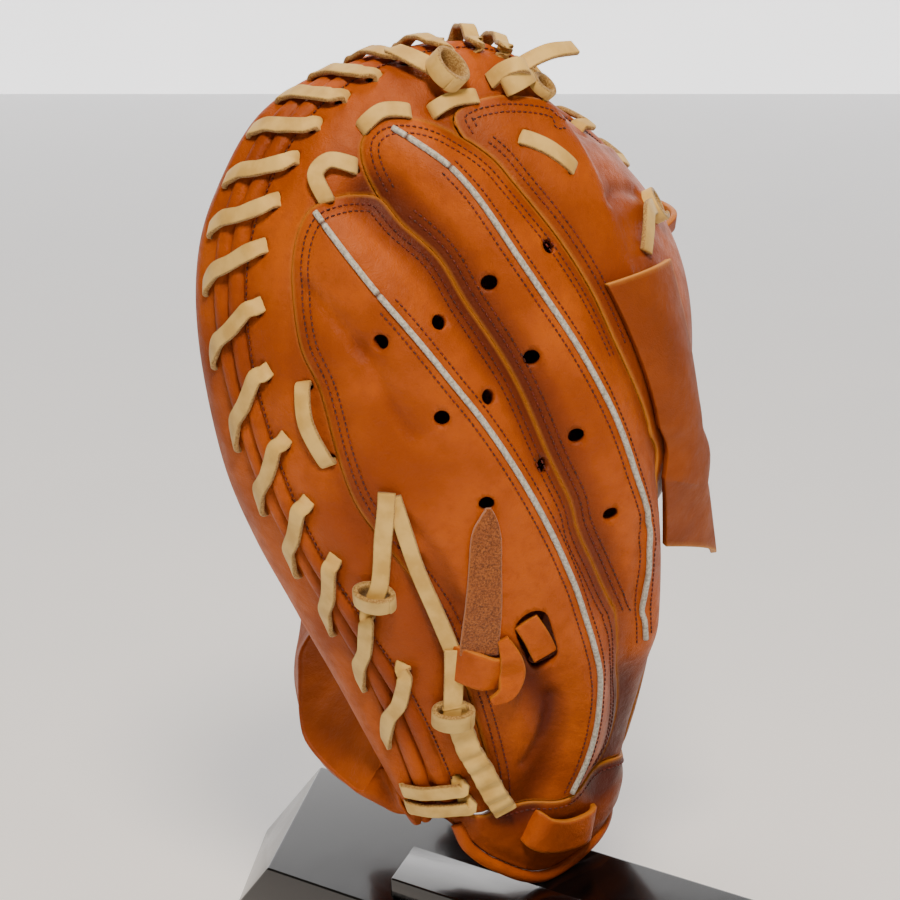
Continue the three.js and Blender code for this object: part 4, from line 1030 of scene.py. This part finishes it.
def make_palm():
    places = np.arange(PAD_SPOKES) / PAD_SPOKES * len(rim_numbers)
    f, outline, inner = pad_profile(places)
    hand_lead = inner[-1] - f["out"] * 20
    pocket_lead = outline[-1] + f["back"] * 22 - f["out"] * 8.8

    def run_in(middle, lead, end, count):
        reach = end - middle
        level = reach - middle_facing * dots(reach, middle_facing)
        return [bezier(middle, middle + level * MIDDLE_ROUNDNESS, lead, end, (k + 1) / (count + 1))
                for k in range(count)]

    hand = run_in(palm_middle, hand_lead, inner[-1], 24)
    pocket = run_in(pocket_middle, pocket_lead, outline[-1], 44)[::-1]
    lip_points = np.stack(outline[2:] + pocket[:1], 0)
    smooth_lip = [rows_at(lip_points.reshape(len(lip_points), -1), np.array([p]))[0].reshape(-1, 3)
                  for p in np.linspace(0, len(lip_points) - 1, 7 * (len(lip_points) - 1) + 1)[:-1]]
    rings = hand + inner[::-1] + outline[:2] + smooth_lip + pocket
    rings = np.stack(rings, 0)
    count = PAD_SPOKES
    corners = np.vstack([rings.reshape(-1, 3), palm_middle, pocket_middle])
    faces = ring_faces(len(rings), count)
    last = len(rings) * count
    faces += [[last, (c + 1) % count, c] for c in range(count)]
    faces += [[last + 1, last - count + c, last - count + (c + 1) % count] for c in range(count)]
    piece = make_piece("palm_pad_leather", corners, faces, palm_leather,
                       {"edge": np.zeros(len(corners)), "painted_shade_and_dark_tone": np.zeros(len(corners))})
    bpy.ops.object.select_all(action="DESELECT")
    bpy.context.view_layer.objects.active = piece
    piece.select_set(True)
    bpy.ops.object.mode_set(mode="EDIT")
    bpy.ops.mesh.select_all(action="SELECT")
    bpy.ops.mesh.normals_make_consistent(inside=False)
    bpy.ops.object.mode_set(mode="OBJECT")
    piece.select_set(False)
    hand_over(piece, "palm_leather", "palm_pad")
    return piece


print("palm faces", len(make_palm().data.polygons))

# %% [markdown]
# ## Welts and bindings
# Two rolls of leather run side by side between back and palm and take the pull of the lace. Where a lace
# crosses, it presses the roll in a little. The open edges at the wrist and heel are bound with a thinner roll.

# %% Welts and bindings
WELT_SIDES = 18


def welt(name, side, node):
    places = np.arange(0, WELT_END + 1e-6, 0.045)
    f = frames_at(rim_numbers[:, :6], places)
    points = from_frame(f, np.full(len(places), side * WELT_SPACING), np.zeros(len(places)))
    press = np.zeros(len(places))
    for hole, lean in STITCHES + HEEL_WRAPS:
        crossing = hole + lean * (0.45 if side > 0 else 0.65)
        press += np.exp(-((places - crossing) / 0.11) ** 2)
    radius = 1.06 - 0.10 * np.clip(press, 0, 1) + 0.015 * np.sin(places * 9.1 + side)
    corners, faces = sweep(points, f["out"], round_section(WELT_RADIUS, WELT_SIDES), radius, radius)
    zero = np.zeros(len(corners))
    turn = (np.arange(WELT_SIDES) + 0.5) / WELT_SIDES * 2 * math.pi
    # Painted shade on the half of each roll that faces into the mitt.
    low = np.tile(np.clip(-np.sin(turn) + 0.25, 0, 1) * 0.8, len(places))
    piece = make_piece(name, corners, faces, welt_leather, {"edge": zero, "painted_shade_and_dark_tone": low})
    return hand_over(piece, "leather", node)


def binding(name, points, normals, node):
    corners, faces = sweep(points, normals, round_section(BINDING_RADIUS, 16))
    zero = np.zeros(len(corners))
    piece = make_piece(name, corners, faces, welt_leather, {"edge": zero, "painted_shade_and_dark_tone": zero})
    return hand_over(piece, "leather", node)


def wrist_line():
    places = np.arange(RIM_END + 0.7, EDGE_COUNT - 0.7 + 1e-6, 0.06)
    flat = flat_spot(places, np.ones(len(places)))
    edge = on_back(flat, -BACK_WALL / 2)
    away = unit(edge - on_back(flat * 0.97, -BACK_WALL / 2))
    return edge + away * (BINDING_RADIUS + 2 * SEAT_GAP), off_back(flat)


def heel_line():
    places = np.arange(RIM_END + 0.8, len(rim_numbers) - 1 + 1e-6, 0.06)
    f, outline, _ = pad_profile(places)
    return outline[1] + f["out"] * (BINDING_RADIUS + SEAT_GAP), f["out"]


welt("welt_inner_roll", 1, "welt_inner")
welt("welt_outer_roll", -1, "welt_outer")
binding("wrist_binding_roll", *wrist_line(), "wrist_binding")
binding("heel_binding_roll", *heel_line(), "heel_binding")
print("welts and bindings made")

# %% [markdown]
# ## Pipings
# A thin pale cord under its cover shows the finger's line on each stall. Small dark ties hold its upper end.

# %% Pipings
TIE_HALF_MM = 0.45


def piping(name, rows, level, ties_mm, node):
    line = evenly(rows, 1.0)
    points = on_back(line, level + PIPING_RADIUS * 0.40)
    along = np.arange(len(line)) * 1.0
    tie = np.zeros(len(line))
    for mark in ties_mm:
        tie = np.maximum(tie, (np.abs(along - mark) < TIE_HALF_MM).astype(float))
    size = 1.0 - 0.18 * tie
    corners, faces = sweep(points, off_back(line), round_section(PIPING_RADIUS * 0.80, 14), size, size)
    piece = make_piece(name, corners, faces, piping_material, {"tie": np.repeat(tie, 14)})
    return hand_over(piece, "piping", node)


piping("ring_piping_cord", RING_PIPING, PANELS["ring_finger_stall"][1], [5.0, 8.5, 36.0], "ring_piping")
piping("middle_piping_cord", MIDDLE_PIPING, PANELS["middle_finger_stall"][1], [6.0, 24.0], "middle_piping")
print("pipings made")

# %% [markdown]
# ## Laces
# Rawhide lace is cut flat, about 6 mm wide and 2 mm thick, with a smooth upper face and raw, fuzzy cut edges.
# Each stitch comes out of its hole in the back, bends over both rolls and goes into the palm leather.

# %% Rim laces
LACE_OVER = WELT_RADIUS + SEAT_GAP + 0.5 * LACE_THICKNESS + 0.35


def rim_stitch(hole, lean, loose=0.0):
    lift = SEAT_GAP + 0.5 * LACE_THICKNESS
    start_flat = flat_spot(np.array([hole]), STITCH_SHARE)
    inward = flat_spot(np.array([hole - 0.1 * lean]), STITCH_SHARE - 0.012)
    off = off_back(start_flat)[0]
    stops = [
        (0.10, WELT_SEAT + 4.5, EDGE_RISE + lift + 1.3), (0.28, WELT_SEAT + 0.2, EDGE_RISE + lift + 2.1),
        (0.45, WELT_SPACING, LACE_OVER + loose), (0.55, 0.0, LACE_OVER + 0.2 + loose),
        (0.65, -WELT_SPACING, LACE_OVER + loose),
        (0.85, -WELT_SEAT - 0.6, LACE_OVER - 1.3), (0.97, -STITCH_DIVE - 1.6, EDGE_RISE + 0.4 + lift),
        (1.02, -STITCH_DIVE - 3.4, EDGE_RISE - 1.6)]
    tilts = [0.35, 0.2, 0.05, 0, -0.1, -0.55, -0.95, -1.4]
    points = [on_back(inward, -3.0)[0], on_back(start_flat, lift - 0.4)[0]]
    normals = [unit(off + unit(back_to_rim(hole)) * -0.8), off]
    for (share, back, out), tilt in zip(stops, tilts):
        f = frames_at(rim_numbers[:, :6], np.array([hole + lean * share]))
        points.append(from_frame(f, np.array([back]), np.array([out]))[0])
        normals.append(unit(f["out"][0] + f["back"][0] * tilt))
    return strip(np.array(points), np.array(normals), LACE_WIDTH, LACE_THICKNESS, 5, wobble=0.03)


# Laces of the crown that stand off the rolls, with how far, and the second loop beside one of them
LOOSE_LOOPS = {13: 0.8, 14: 1.2, 15: 2.4}
DOUBLE_LOOP = 15
DOUBLE_PLACE = 10.45
DOUBLE_LOOSE = 3.6


def back_to_rim(hole):
    inner = bare_flat(flat_spot(np.array([hole]), STITCH_SHARE - 0.05))[0]
    outer = bare_flat(flat_spot(np.array([hole]), STITCH_SHARE))[0]
    return outer - inner


for k, (hole, lean) in enumerate(STITCHES):
    node = f"rim_lace_{k + 1:02d}"
    parts = [rim_stitch(hole, lean, LOOSE_LOOPS.get(k, 0.0))]
    if k == DOUBLE_LOOP:
        parts.append(rim_stitch(DOUBLE_PLACE, 0.0, DOUBLE_LOOSE))
    corners, faces, cut = joined(parts)
    hand_over(make_piece(node + "_strip", corners, faces, lace_material, {"cut": cut}), "lace", node)
for k, (hole, lean) in enumerate(HEEL_WRAPS):
    node = f"heel_wrap_{k + 1}"
    corners, faces, cut = rim_stitch(hole, lean)
    hand_over(make_piece(node + "_strip", corners, faces, lace_material, {"cut": cut}), "lace", node)
print("rim laces made", len(STITCHES) + len(HEEL_WRAPS))


# %% Laces on the back and knots
def back_strip(rows, width=LACE_WIDTH, thickness=LACE_THICKNESS, level=0.0, dive=False, parts=10,
               widths=None):
    rows = np.asarray(rows, float)
    lift = rows[:, 2] + SEAT_GAP + 0.5 * thickness + level
    points = on_back(rows[:, :2], lift)
    normals = off_back(rows[:, :2])
    if dive:
        for end, step in ((0, 1), (-1, -1)):
            run = unit(points[end] - points[end + step])
            tip = points[end] + run * 1.2 - normals[end] * 4.0
            tip_normal = unit(normals[end] + run * 1.2)
            if end == 0:
                points, normals = np.vstack([tip, points]), np.vstack([tip_normal, normals])
            else:
                points, normals = np.vstack([points, tip]), np.vstack([normals, tip_normal])
    return strip(points, normals, width, thickness, parts, widths, wobble=0.02)


for name, rows in ACCENTS.items():
    corners, faces, cut = back_strip(rows, dive=True)
    hand_over(make_piece(name + "_strip", corners, faces, lace_material, {"cut": cut}), "lace", name)


def curl(flat, along, across, turns, width, lift, start=0.0):
    """A lace rolled into a ring that stands on the leather."""
    flat = np.array([flat])
    middle = on_back(flat, lift)[0]
    off = off_back(flat)[0]
    sideways = sides_of(flat)[0][0]
    side = unit(sideways - off * (sideways @ off))
    up = np.cross(off, side)
    turn = np.linspace(start, start + turns * 2 * math.pi, int(26 * turns))
    grow = 1 + 0.10 * (turn - turn[0]) / (2 * math.pi)
    spoke = side * np.cos(turn)[:, None] * along + up * np.sin(turn)[:, None] * across
    points = middle + spoke * grow[:, None] + off * (0.25 * (turn - turn[0]))[:, None]
    return strip(points, unit(spoke), width, LACE_THICKNESS, 2)


def collar(flat, towards, across, rise, width, tilt):
    """A turn of lace round a lace that runs from one place of the leather towards another."""
    flat = np.array([flat])
    off = off_back(flat)[0]
    run = bare_flat(np.array([towards]))[0] - bare_flat(flat)[0]
    run = unit(run - off * (run @ off))
    side = np.cross(run, off)
    axis = run * math.cos(tilt) + off * math.sin(tilt)
    up = np.cross(side, axis)
    turn = np.linspace(0.2, 0.2 + 2.12 * math.pi, 34)
    spoke = side * np.cos(turn)[:, None] * across + up * np.sin(turn)[:, None] * rise
    middle = on_back(flat, rise * math.cos(tilt) + 0.5 * width * math.sin(tilt) + 0.4)[0]
    points = middle + spoke * (1 + 0.012 * turn)[:, None]
    return strip(points, unit(spoke), width, LACE_THICKNESS, 2)


def ridged(rows, width, thickness, ridges):
    """A strip that rises and dips a little along its cross ridges."""
    places = np.linspace(0, len(rows) - 1, ridges * 6 + 1)
    fine = rows_at(rows, places)
    fine[:, 2] += 0.55 * np.cos(np.arange(len(fine)) / 6 * 2 * math.pi)
    return back_strip(fine, width, thickness, parts=2)


knot_parts = {
    "knot_crown": [
        back_strip([[-0.600, 0.800, 2.0], [-0.572, 0.790, 3.5], [-0.530, 0.745, 4.0], [-0.492, 0.690, 4.0],
                    [-0.480, 0.655, 2.5]], 6.6),
        collar([-0.478, 0.640], [-0.600, 0.560], 6.6, 6.0, 7.0, 1.0),
    ],
    "knot_web_side": [
        back_strip([[-0.515, 0.545, -0.5], [-0.535, 0.530, 6.0], [-0.560, 0.505, 9.0], [-0.590, 0.480, 6.0],
                    [-0.606, 0.462, -0.5]], 6.0),
        collar([-0.548, 0.488], [-0.640, 0.560], 6.0, 3.0, 7.4, 0.35),
        back_strip([[-0.585, 0.500, 3.5], [-0.625, 0.480, 7.5], [-0.670, 0.455, 12.0], [-0.715, 0.430, 17.0]],
                   6.2),
        curl([-0.610, 0.420], 3.6, 4.4, 1.0, 4.0, 2.4, 0.4),
    ],
    "knot_thumb_side": [
        curl([-0.640, 0.062], 5.4, 5.4, 1.1, 5.0, 2.6, 0.8),
        back_strip([[-0.600, 0.080, 3.0], [-0.545, 0.103, 4.0], [-0.479, 0.106, 3.4],
                    [-0.404, 0.104, 1.6]], 6.4),
    ],
    "knot_little_finger": [
        back_strip([[0.437, 0.540, 2.5], [0.490, 0.520, 3.0], [0.551, 0.498, 3.2], [0.610, 0.474, 3.6],
                    [0.665, 0.455, 3.6], [0.720, 0.447, 4.2]], 6.4),
        collar([0.712, 0.450], [0.437, 0.540], 6.6, 3.6, 8.0, 0.40),
    ],
    "heel_lace": [
        back_strip([[0.440, 0.525, 1.0], [0.510, 0.460, 1.0], [0.570, 0.400, 1.5], [0.630, 0.320, 1.2],
                    [0.690, 0.225, 1.2]]),
    ],
    "knot_heel": [
        back_strip([[0.672, 0.245, 1.5], [0.725, 0.212, 2.6], [0.778, 0.182, 3.4],
                    [0.815, 0.165, 3.8]], 7.0, 2.4),
        collar([0.800, 0.168], [0.690, 0.232], 6.6, 3.6, 9.0, 0.30),
        ridged([[0.775, 0.180, 3.4], [0.808, 0.105, 3.5], [0.800, 0.039, 4.0], [0.790, -0.080, 4.0],
                [0.773, -0.240, 3.0]], 9.0, 2.4, 7),
    ],
}
for name, parts in knot_parts.items():
    corners, faces, cut = joined(parts)
    hand_over(make_piece(name + "_strip", corners, faces, lace_material, {"cut": cut}), "lace", name)


def rim_strip(rows, width, thickness):
    rows = np.asarray(rows, float)
    f = frames_at(rim_numbers[:, :6], rows[:, 0])
    points = from_frame(f, rows[:, 1], rows[:, 2])
    normals = unit(f["back"] * rows[:, 1:2] + f["out"] * rows[:, 2:3])
    return strip(points, normals, width, thickness, 10)


corners, faces, cut = rim_strip(WEB_LOOP_ROWS, 6.5, STRAP_THICKNESS)
web_loop = make_piece("web_loop_strip", corners, faces, back_leather,
                      {"edge": cut * 0.6, "painted_shade_and_dark_tone": np.zeros(len(corners))})
hand_over(web_loop, "leather", "web_loop")
corners, faces, cut = rim_strip(WEB_LACE_ROWS, LACE_WIDTH, LACE_THICKNESS)
hand_over(make_piece("web_lace_strip", corners, faces, lace_material, {"cut": cut}), "lace", "web_lace")
print("back laces, knots and web pieces made")

# %% [markdown]
# ## Strap, loop, tab and keeper
# The strap is a suede strip with a pointed tip. A folded loop holds its foot, a tab lies in a slot beside it,
# and a keeper crosses the end of the piping near the wrist.

# %% Strap and small leather pieces
ring_level = PANELS["ring_finger_stall"][1]


def leather_strip(name, rows, width, thickness, level, node, dive=True):
    corners, faces, cut = back_strip(rows, width, thickness, level, dive)
    piece = make_piece(name, corners, faces, back_leather,
                       {"edge": cut * 0.7, "painted_shade_and_dark_tone": np.zeros(len(corners))})
    return hand_over(piece, "leather", node)


strap_rows = [[row[0], row[1], 0.0] for row in STRAP_ROWS]
corners, faces, cut = back_strip(strap_rows, STRAP_WIDTH, STRAP_THICKNESS, ring_level,
                                 widths=[row[2] for row in STRAP_ROWS], parts=14)
hand_over(make_piece("adjuster_strap_suede", corners, faces, suede_material, {"cut": cut * 0.6}), "suede",
          "adjuster_strap")
loop_parts = [
    back_strip([[0.705, 0.236, -0.5], [0.668, 0.203, 2.4], [0.628, 0.166, 3.2], [0.590, 0.135, 1.0]], 14.0,
               STRAP_THICKNESS, ring_level),
    back_strip([[0.545, 0.182, 0.5], [0.556, 0.152, 3.4], [0.576, 0.128, 4.6], [0.612, 0.122, 4.8],
                [0.660, 0.132, 3.0]], 8.0, STRAP_THICKNESS, ring_level, widths=[0.5, 1.0, 1.2, 0.9, 0.35])]
corners, faces, cut = joined(loop_parts)
hand_over(make_piece("strap_loop_leather", corners, faces, back_leather,
                     {"edge": cut * 0.7, "painted_shade_and_dark_tone": np.zeros(len(corners))}), "leather", "strap_loop")
leather_strip("slot_tab_leather", TAB_ROWS, 9.5, STRAP_THICKNESS, ring_level - 2.2, "slot_tab", False)
keeper_rows = [[row[0], row[1], row[2] * KEEPER_RISE] for row in KEEPER_ROWS]
leather_strip("keeper_loop_leather", keeper_rows, KEEPER_WIDTH, STRAP_THICKNESS,
              PANELS["wrist_band"][1] - 0.5, "keeper_loop")
print("strap pieces made")

# %% [markdown]
# ## Finger flap
# A stiff piece of leather over the forefinger, sewn along one edge and bowed towards its free edge.

# %% Finger flap


def make_flap():
    places = np.linspace(0, len(FLAP_ROWS) - 1, 61)
    rows = rows_at(FLAP_ROWS, places)
    sewn = on_back(rows[:, :2], PANELS["index_panel"][1] + 0.6 + 0.5 * FLAP_THICKNESS)
    off = off_back(rows[:, :2])
    span = rows[:, 2:5] * mitt_size
    shares = np.linspace(0, 1, 41)
    grid = np.array([[sewn[k] + span[k] * s + off[k] * (FLAP_ARCH * 4 * s * (1 - s)) for s in shares]
                     for k in range(len(places))])
    count = len(shares)
    faces = [[r * count + c, r * count + c + 1, (r + 1) * count + c + 1, (r + 1) * count + c]
             for r in range(len(places) - 1) for c in range(count - 1)]
    corners = grid.reshape(-1, 3)
    r = np.repeat(np.arange(len(places)), count)
    c = np.tile(np.arange(count), len(places))
    near = np.minimum.reduce([r, len(places) - 1 - r, count - 1 - c])
    edge = np.exp(-(near / 0.8) ** 2)
    piece = make_piece("finger_flap_leather", corners, faces, flap_leather,
                       {"edge": edge, "painted_shade_and_dark_tone": np.zeros(len(corners))})
    wall = piece.modifiers.new("wall", "SOLIDIFY")
    wall.thickness = FLAP_THICKNESS * MM
    wall.offset = 0
    soft = piece.modifiers.new("soft", "BEVEL")
    soft.width = 0.5 * MM
    soft.segments = 2
    soft.limit_method = "ANGLE"
    apply_modifiers(piece)
    return hand_over(piece, "leather", "finger_flap")


print("flap faces", len(make_flap().data.polygons))

# %% [markdown]
# ## Thread
# The stalls are sewn with two rows of dark waxed thread just inside their cut edges, and the pipings with one
# row on each side. A stitch is a small rounded bar, sunk a little into the leather; it is modelled once from a
# primitive and then copied to every place.

# %% Thread stitches
STITCH_PITCH = 2.2
STITCH_LENGTH = 1.5
THREAD_RADIUS = 0.34


def stitch_shape():
    bpy.ops.object.select_all(action="DESELECT")
    bpy.ops.mesh.primitive_cylinder_add(vertices=6, radius=THREAD_RADIUS, depth=STITCH_LENGTH * 0.7)
    model = bpy.context.object
    bpy.ops.object.mode_set(mode="EDIT")
    bpy.ops.mesh.select_all(action="DESELECT")
    bpy.ops.object.mode_set(mode="OBJECT")
    for polygon in model.data.polygons:
        polygon.select = abs(polygon.normal.z) > 0.9
    bpy.ops.object.mode_set(mode="EDIT")
    bpy.ops.mesh.select_mode(type="FACE")
    bpy.ops.mesh.extrude_faces_move(TRANSFORM_OT_shrink_fatten={"value": STITCH_LENGTH * 0.15})
    bpy.ops.transform.resize(value=(0.45, 0.45, 1.0))
    bpy.ops.object.mode_set(mode="OBJECT")
    corners = np.array([v.co for v in model.data.vertices])
    faces = [list(p.vertices) for p in model.data.polygons]
    bpy.data.objects.remove(model)
    return corners[:, [2, 0, 1]], faces


def stitch_row(flat_line, level):
    """Places and directions of the stitches of one row."""
    points = on_back(flat_line, level)
    length = np.concatenate([[0], np.cumsum(np.linalg.norm(np.diff(points, axis=0), axis=1))])
    marks = np.arange(STITCH_PITCH / 2, length[-1], STITCH_PITCH)
    flat = np.stack([np.interp(marks, length, flat_line[:, k]) for k in range(2)], -1)
    spots = on_back(flat, level)
    ahead = np.stack([np.interp(marks + 0.5, length, flat_line[:, k]) for k in range(2)], -1)
    behind = np.stack([np.interp(marks - 0.5, length, flat_line[:, k]) for k in range(2)], -1)
    run = unit(on_back(ahead, level) - on_back(behind, level))
    up = off_back(flat)
    side = unit(np.cross(run, up))
    return spots, run, side, np.cross(side, run)


def thread_piece(name, rows):
    shape, shape_faces = stitch_shape()
    corners, faces = [], []
    for spots, run, side, up in rows:
        for spot, x, y, z in zip(spots, run, side, up):
            start = len(corners) * len(shape)
            corners.append(spot + shape[:, :1] * x + shape[:, 1:2] * y + shape[:, 2:] * z)
            faces += [[k + start for k in face] for face in shape_faces]
    piece = make_piece(name, np.vstack(corners), faces, thread_material)
    return hand_over(piece, "piping")


def seam_rows(rows, offsets, level, step=2.0):
    line = evenly(rows, step)
    return [stitch_row(moved_flat(line, offset), level + 0.12) for offset in offsets]


ring_side = PANELS["ring_finger_stall"][1]
middle_side = PANELS["middle_finger_stall"][1]
index_side = PANELS["index_panel"][1]
band_side = PANELS["wrist_band"][1]
FIRST_ROW, SECOND_ROW = 3.7, 6.3
inside_rows, outside_rows = (-FIRST_ROW, -SECOND_ROW), (FIRST_ROW, SECOND_ROW)
RING_CORD_ROW, MIDDLE_CORD_ROW, BAND_ROW = 3.5, 3.3, 3.0
RIM_ROW_SHARE, RIM_ROW_LIFT = 0.988, 0.3
thread_piece("ring_stall_thread", seam_rows(RING_OUTLINE, inside_rows, ring_side))
thread_piece("middle_stall_thread", seam_rows(MIDDLE_OUTLINE[:16], inside_rows, middle_side)
             + seam_rows(RING_OUTLINE[18:27], outside_rows, middle_side))
thread_piece("index_panel_thread", seam_rows(INDEX_OUTLINE[3:], outside_rows, index_side)
             + seam_rows(MIDDLE_OUTLINE[9:16], outside_rows, index_side))
thread_piece("piping_thread", seam_rows(RING_PIPING[2:], (-RING_CORD_ROW, RING_CORD_ROW), ring_side)
             + seam_rows(MIDDLE_PIPING[2:], (-MIDDLE_CORD_ROW, MIDDLE_CORD_ROW), middle_side))
thread_piece("band_thread", seam_rows(BAND_OUTLINE[2:9], (-BAND_ROW,), band_side))
rim_line = flat_spot(np.arange(0.3, 12.9, 0.05), RIM_ROW_SHARE)
thread_piece("rim_thread", [stitch_row(rim_line, RIM_ROW_LIFT)])
print("thread made")

# %% [markdown]
# ## Stand
# The stand is a moulded block of glossy plastic. Its solids are right, so copies of them are merged, their flat
# faces joined, and their edges given the fine bevel that catches the light.

# %% Stand
BEVEL_MM = 0.7


def bevelled_copy(node):
    bpy.ops.object.select_all(action="DESELECT")
    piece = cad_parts[node].copy()
    piece.data = piece.data.copy()
    piece.name = node + "_moulding"
    for key in list(piece.keys()):
        if key.startswith("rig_"):
            del piece[key]
    piece.parent = None
    bpy.context.scene.collection.objects.link(piece)
    bpy.context.view_layer.objects.active = piece
    piece.select_set(True)
    bpy.ops.object.mode_set(mode="EDIT")
    bpy.ops.mesh.select_all(action="SELECT")
    bpy.ops.mesh.remove_doubles(threshold=1e-6)
    bpy.ops.mesh.dissolve_limited(angle_limit=math.radians(0.5))
    bpy.ops.mesh.normals_make_consistent(inside=False)
    bpy.ops.mesh.select_all(action="SELECT")
    bpy.ops.mesh.bevel(offset=BEVEL_MM * MM, segments=3, affect="EDGES")
    bpy.ops.object.mode_set(mode="OBJECT")
    bpy.ops.object.shade_smooth_by_angle(angle=math.radians(35))
    piece.data.materials.clear()
    piece.data.materials.append(stand_material)
    piece.select_set(False)
    return hand_over(piece, "stand", node)


for stand_node in ("stand_wedge", "stand_shelf"):
    print(stand_node, len(bevelled_copy(stand_node).data.polygons))

# %% [markdown]
# ## Floor, backdrop and light
# A plain pale floor and a bright backdrop behind it. One strong soft light stands above and to the left of the
# camera, a weak one to its right and one over the mitt, and the surrounding is dim and warm.

# %% Stage and light
def plain_material(name, colour, roughness, glow=0.0):
    material, tree, shader, place = new_material(name)
    tone = noise(tree, place, 120, 2)
    tree.links.new(mixed(tree, tone, linear(colour), linear("#D9DBDF")), shader.inputs["Base Color"])
    shader.inputs["Roughness"].default_value = roughness
    shader.inputs["Emission Color"].default_value = linear(colour)
    shader.inputs["Emission Strength"].default_value = glow
    return material


WALL_AWAY = 2.2


def add_stage():
    bpy.ops.mesh.primitive_plane_add(size=9, location=(0, 0, -0.0005))
    floor = bpy.context.object
    floor.name = "floor"
    floor.data.materials.append(plain_material("matt_paper", "#E2E2E4", 0.9, 0.40))
    turn = math.radians(CAMERA_TURN)
    wall_spot = (-math.sin(turn) * WALL_AWAY, math.cos(turn) * WALL_AWAY, 1.0)
    bpy.ops.mesh.primitive_plane_add(size=3.6, location=wall_spot, rotation=(math.pi / 2, 0, turn))
    wall = bpy.context.object
    wall.name = "backdrop"
    wall.data.materials.append(plain_material("pale_cloth", "#F2F2F4", 0.95, 1.9))


def add_light(name, location, size, power, colour):
    bpy.ops.object.light_add(type="AREA", location=location)
    light = bpy.context.object
    light.name = name
    light.data.shape = "DISK"
    light.data.size = size
    light.data.energy = power
    light.data.color = linear(colour)[:3]
    light.rotation_euler = (CAMERA_AIM - Vector(location)).to_track_quat("-Z", "Y").to_euler()
    return light


def add_world():
    world = bpy.data.worlds.new("studio")
    world.use_nodes = True
    world.node_tree.nodes["Background"].inputs[0].default_value = linear("#EADFCB")
    world.node_tree.nodes["Background"].inputs[1].default_value = 0.15
    bpy.context.scene.world = world


add_stage()
add_world()
add_light("key_light", (-0.75, -0.75, 1.45), 0.40, 30, "#FFE9CC")
add_light("right_light", (0.5, -1.5, 0.8), 0.8, 2.5, "#FFF0E0")
add_light("top_light", (0.1, 0.25, 1.6), 0.6, 10, "#FFF2E0")
print("stage and light ready")

# %% Update the scene
bpy.context.view_layer.update()
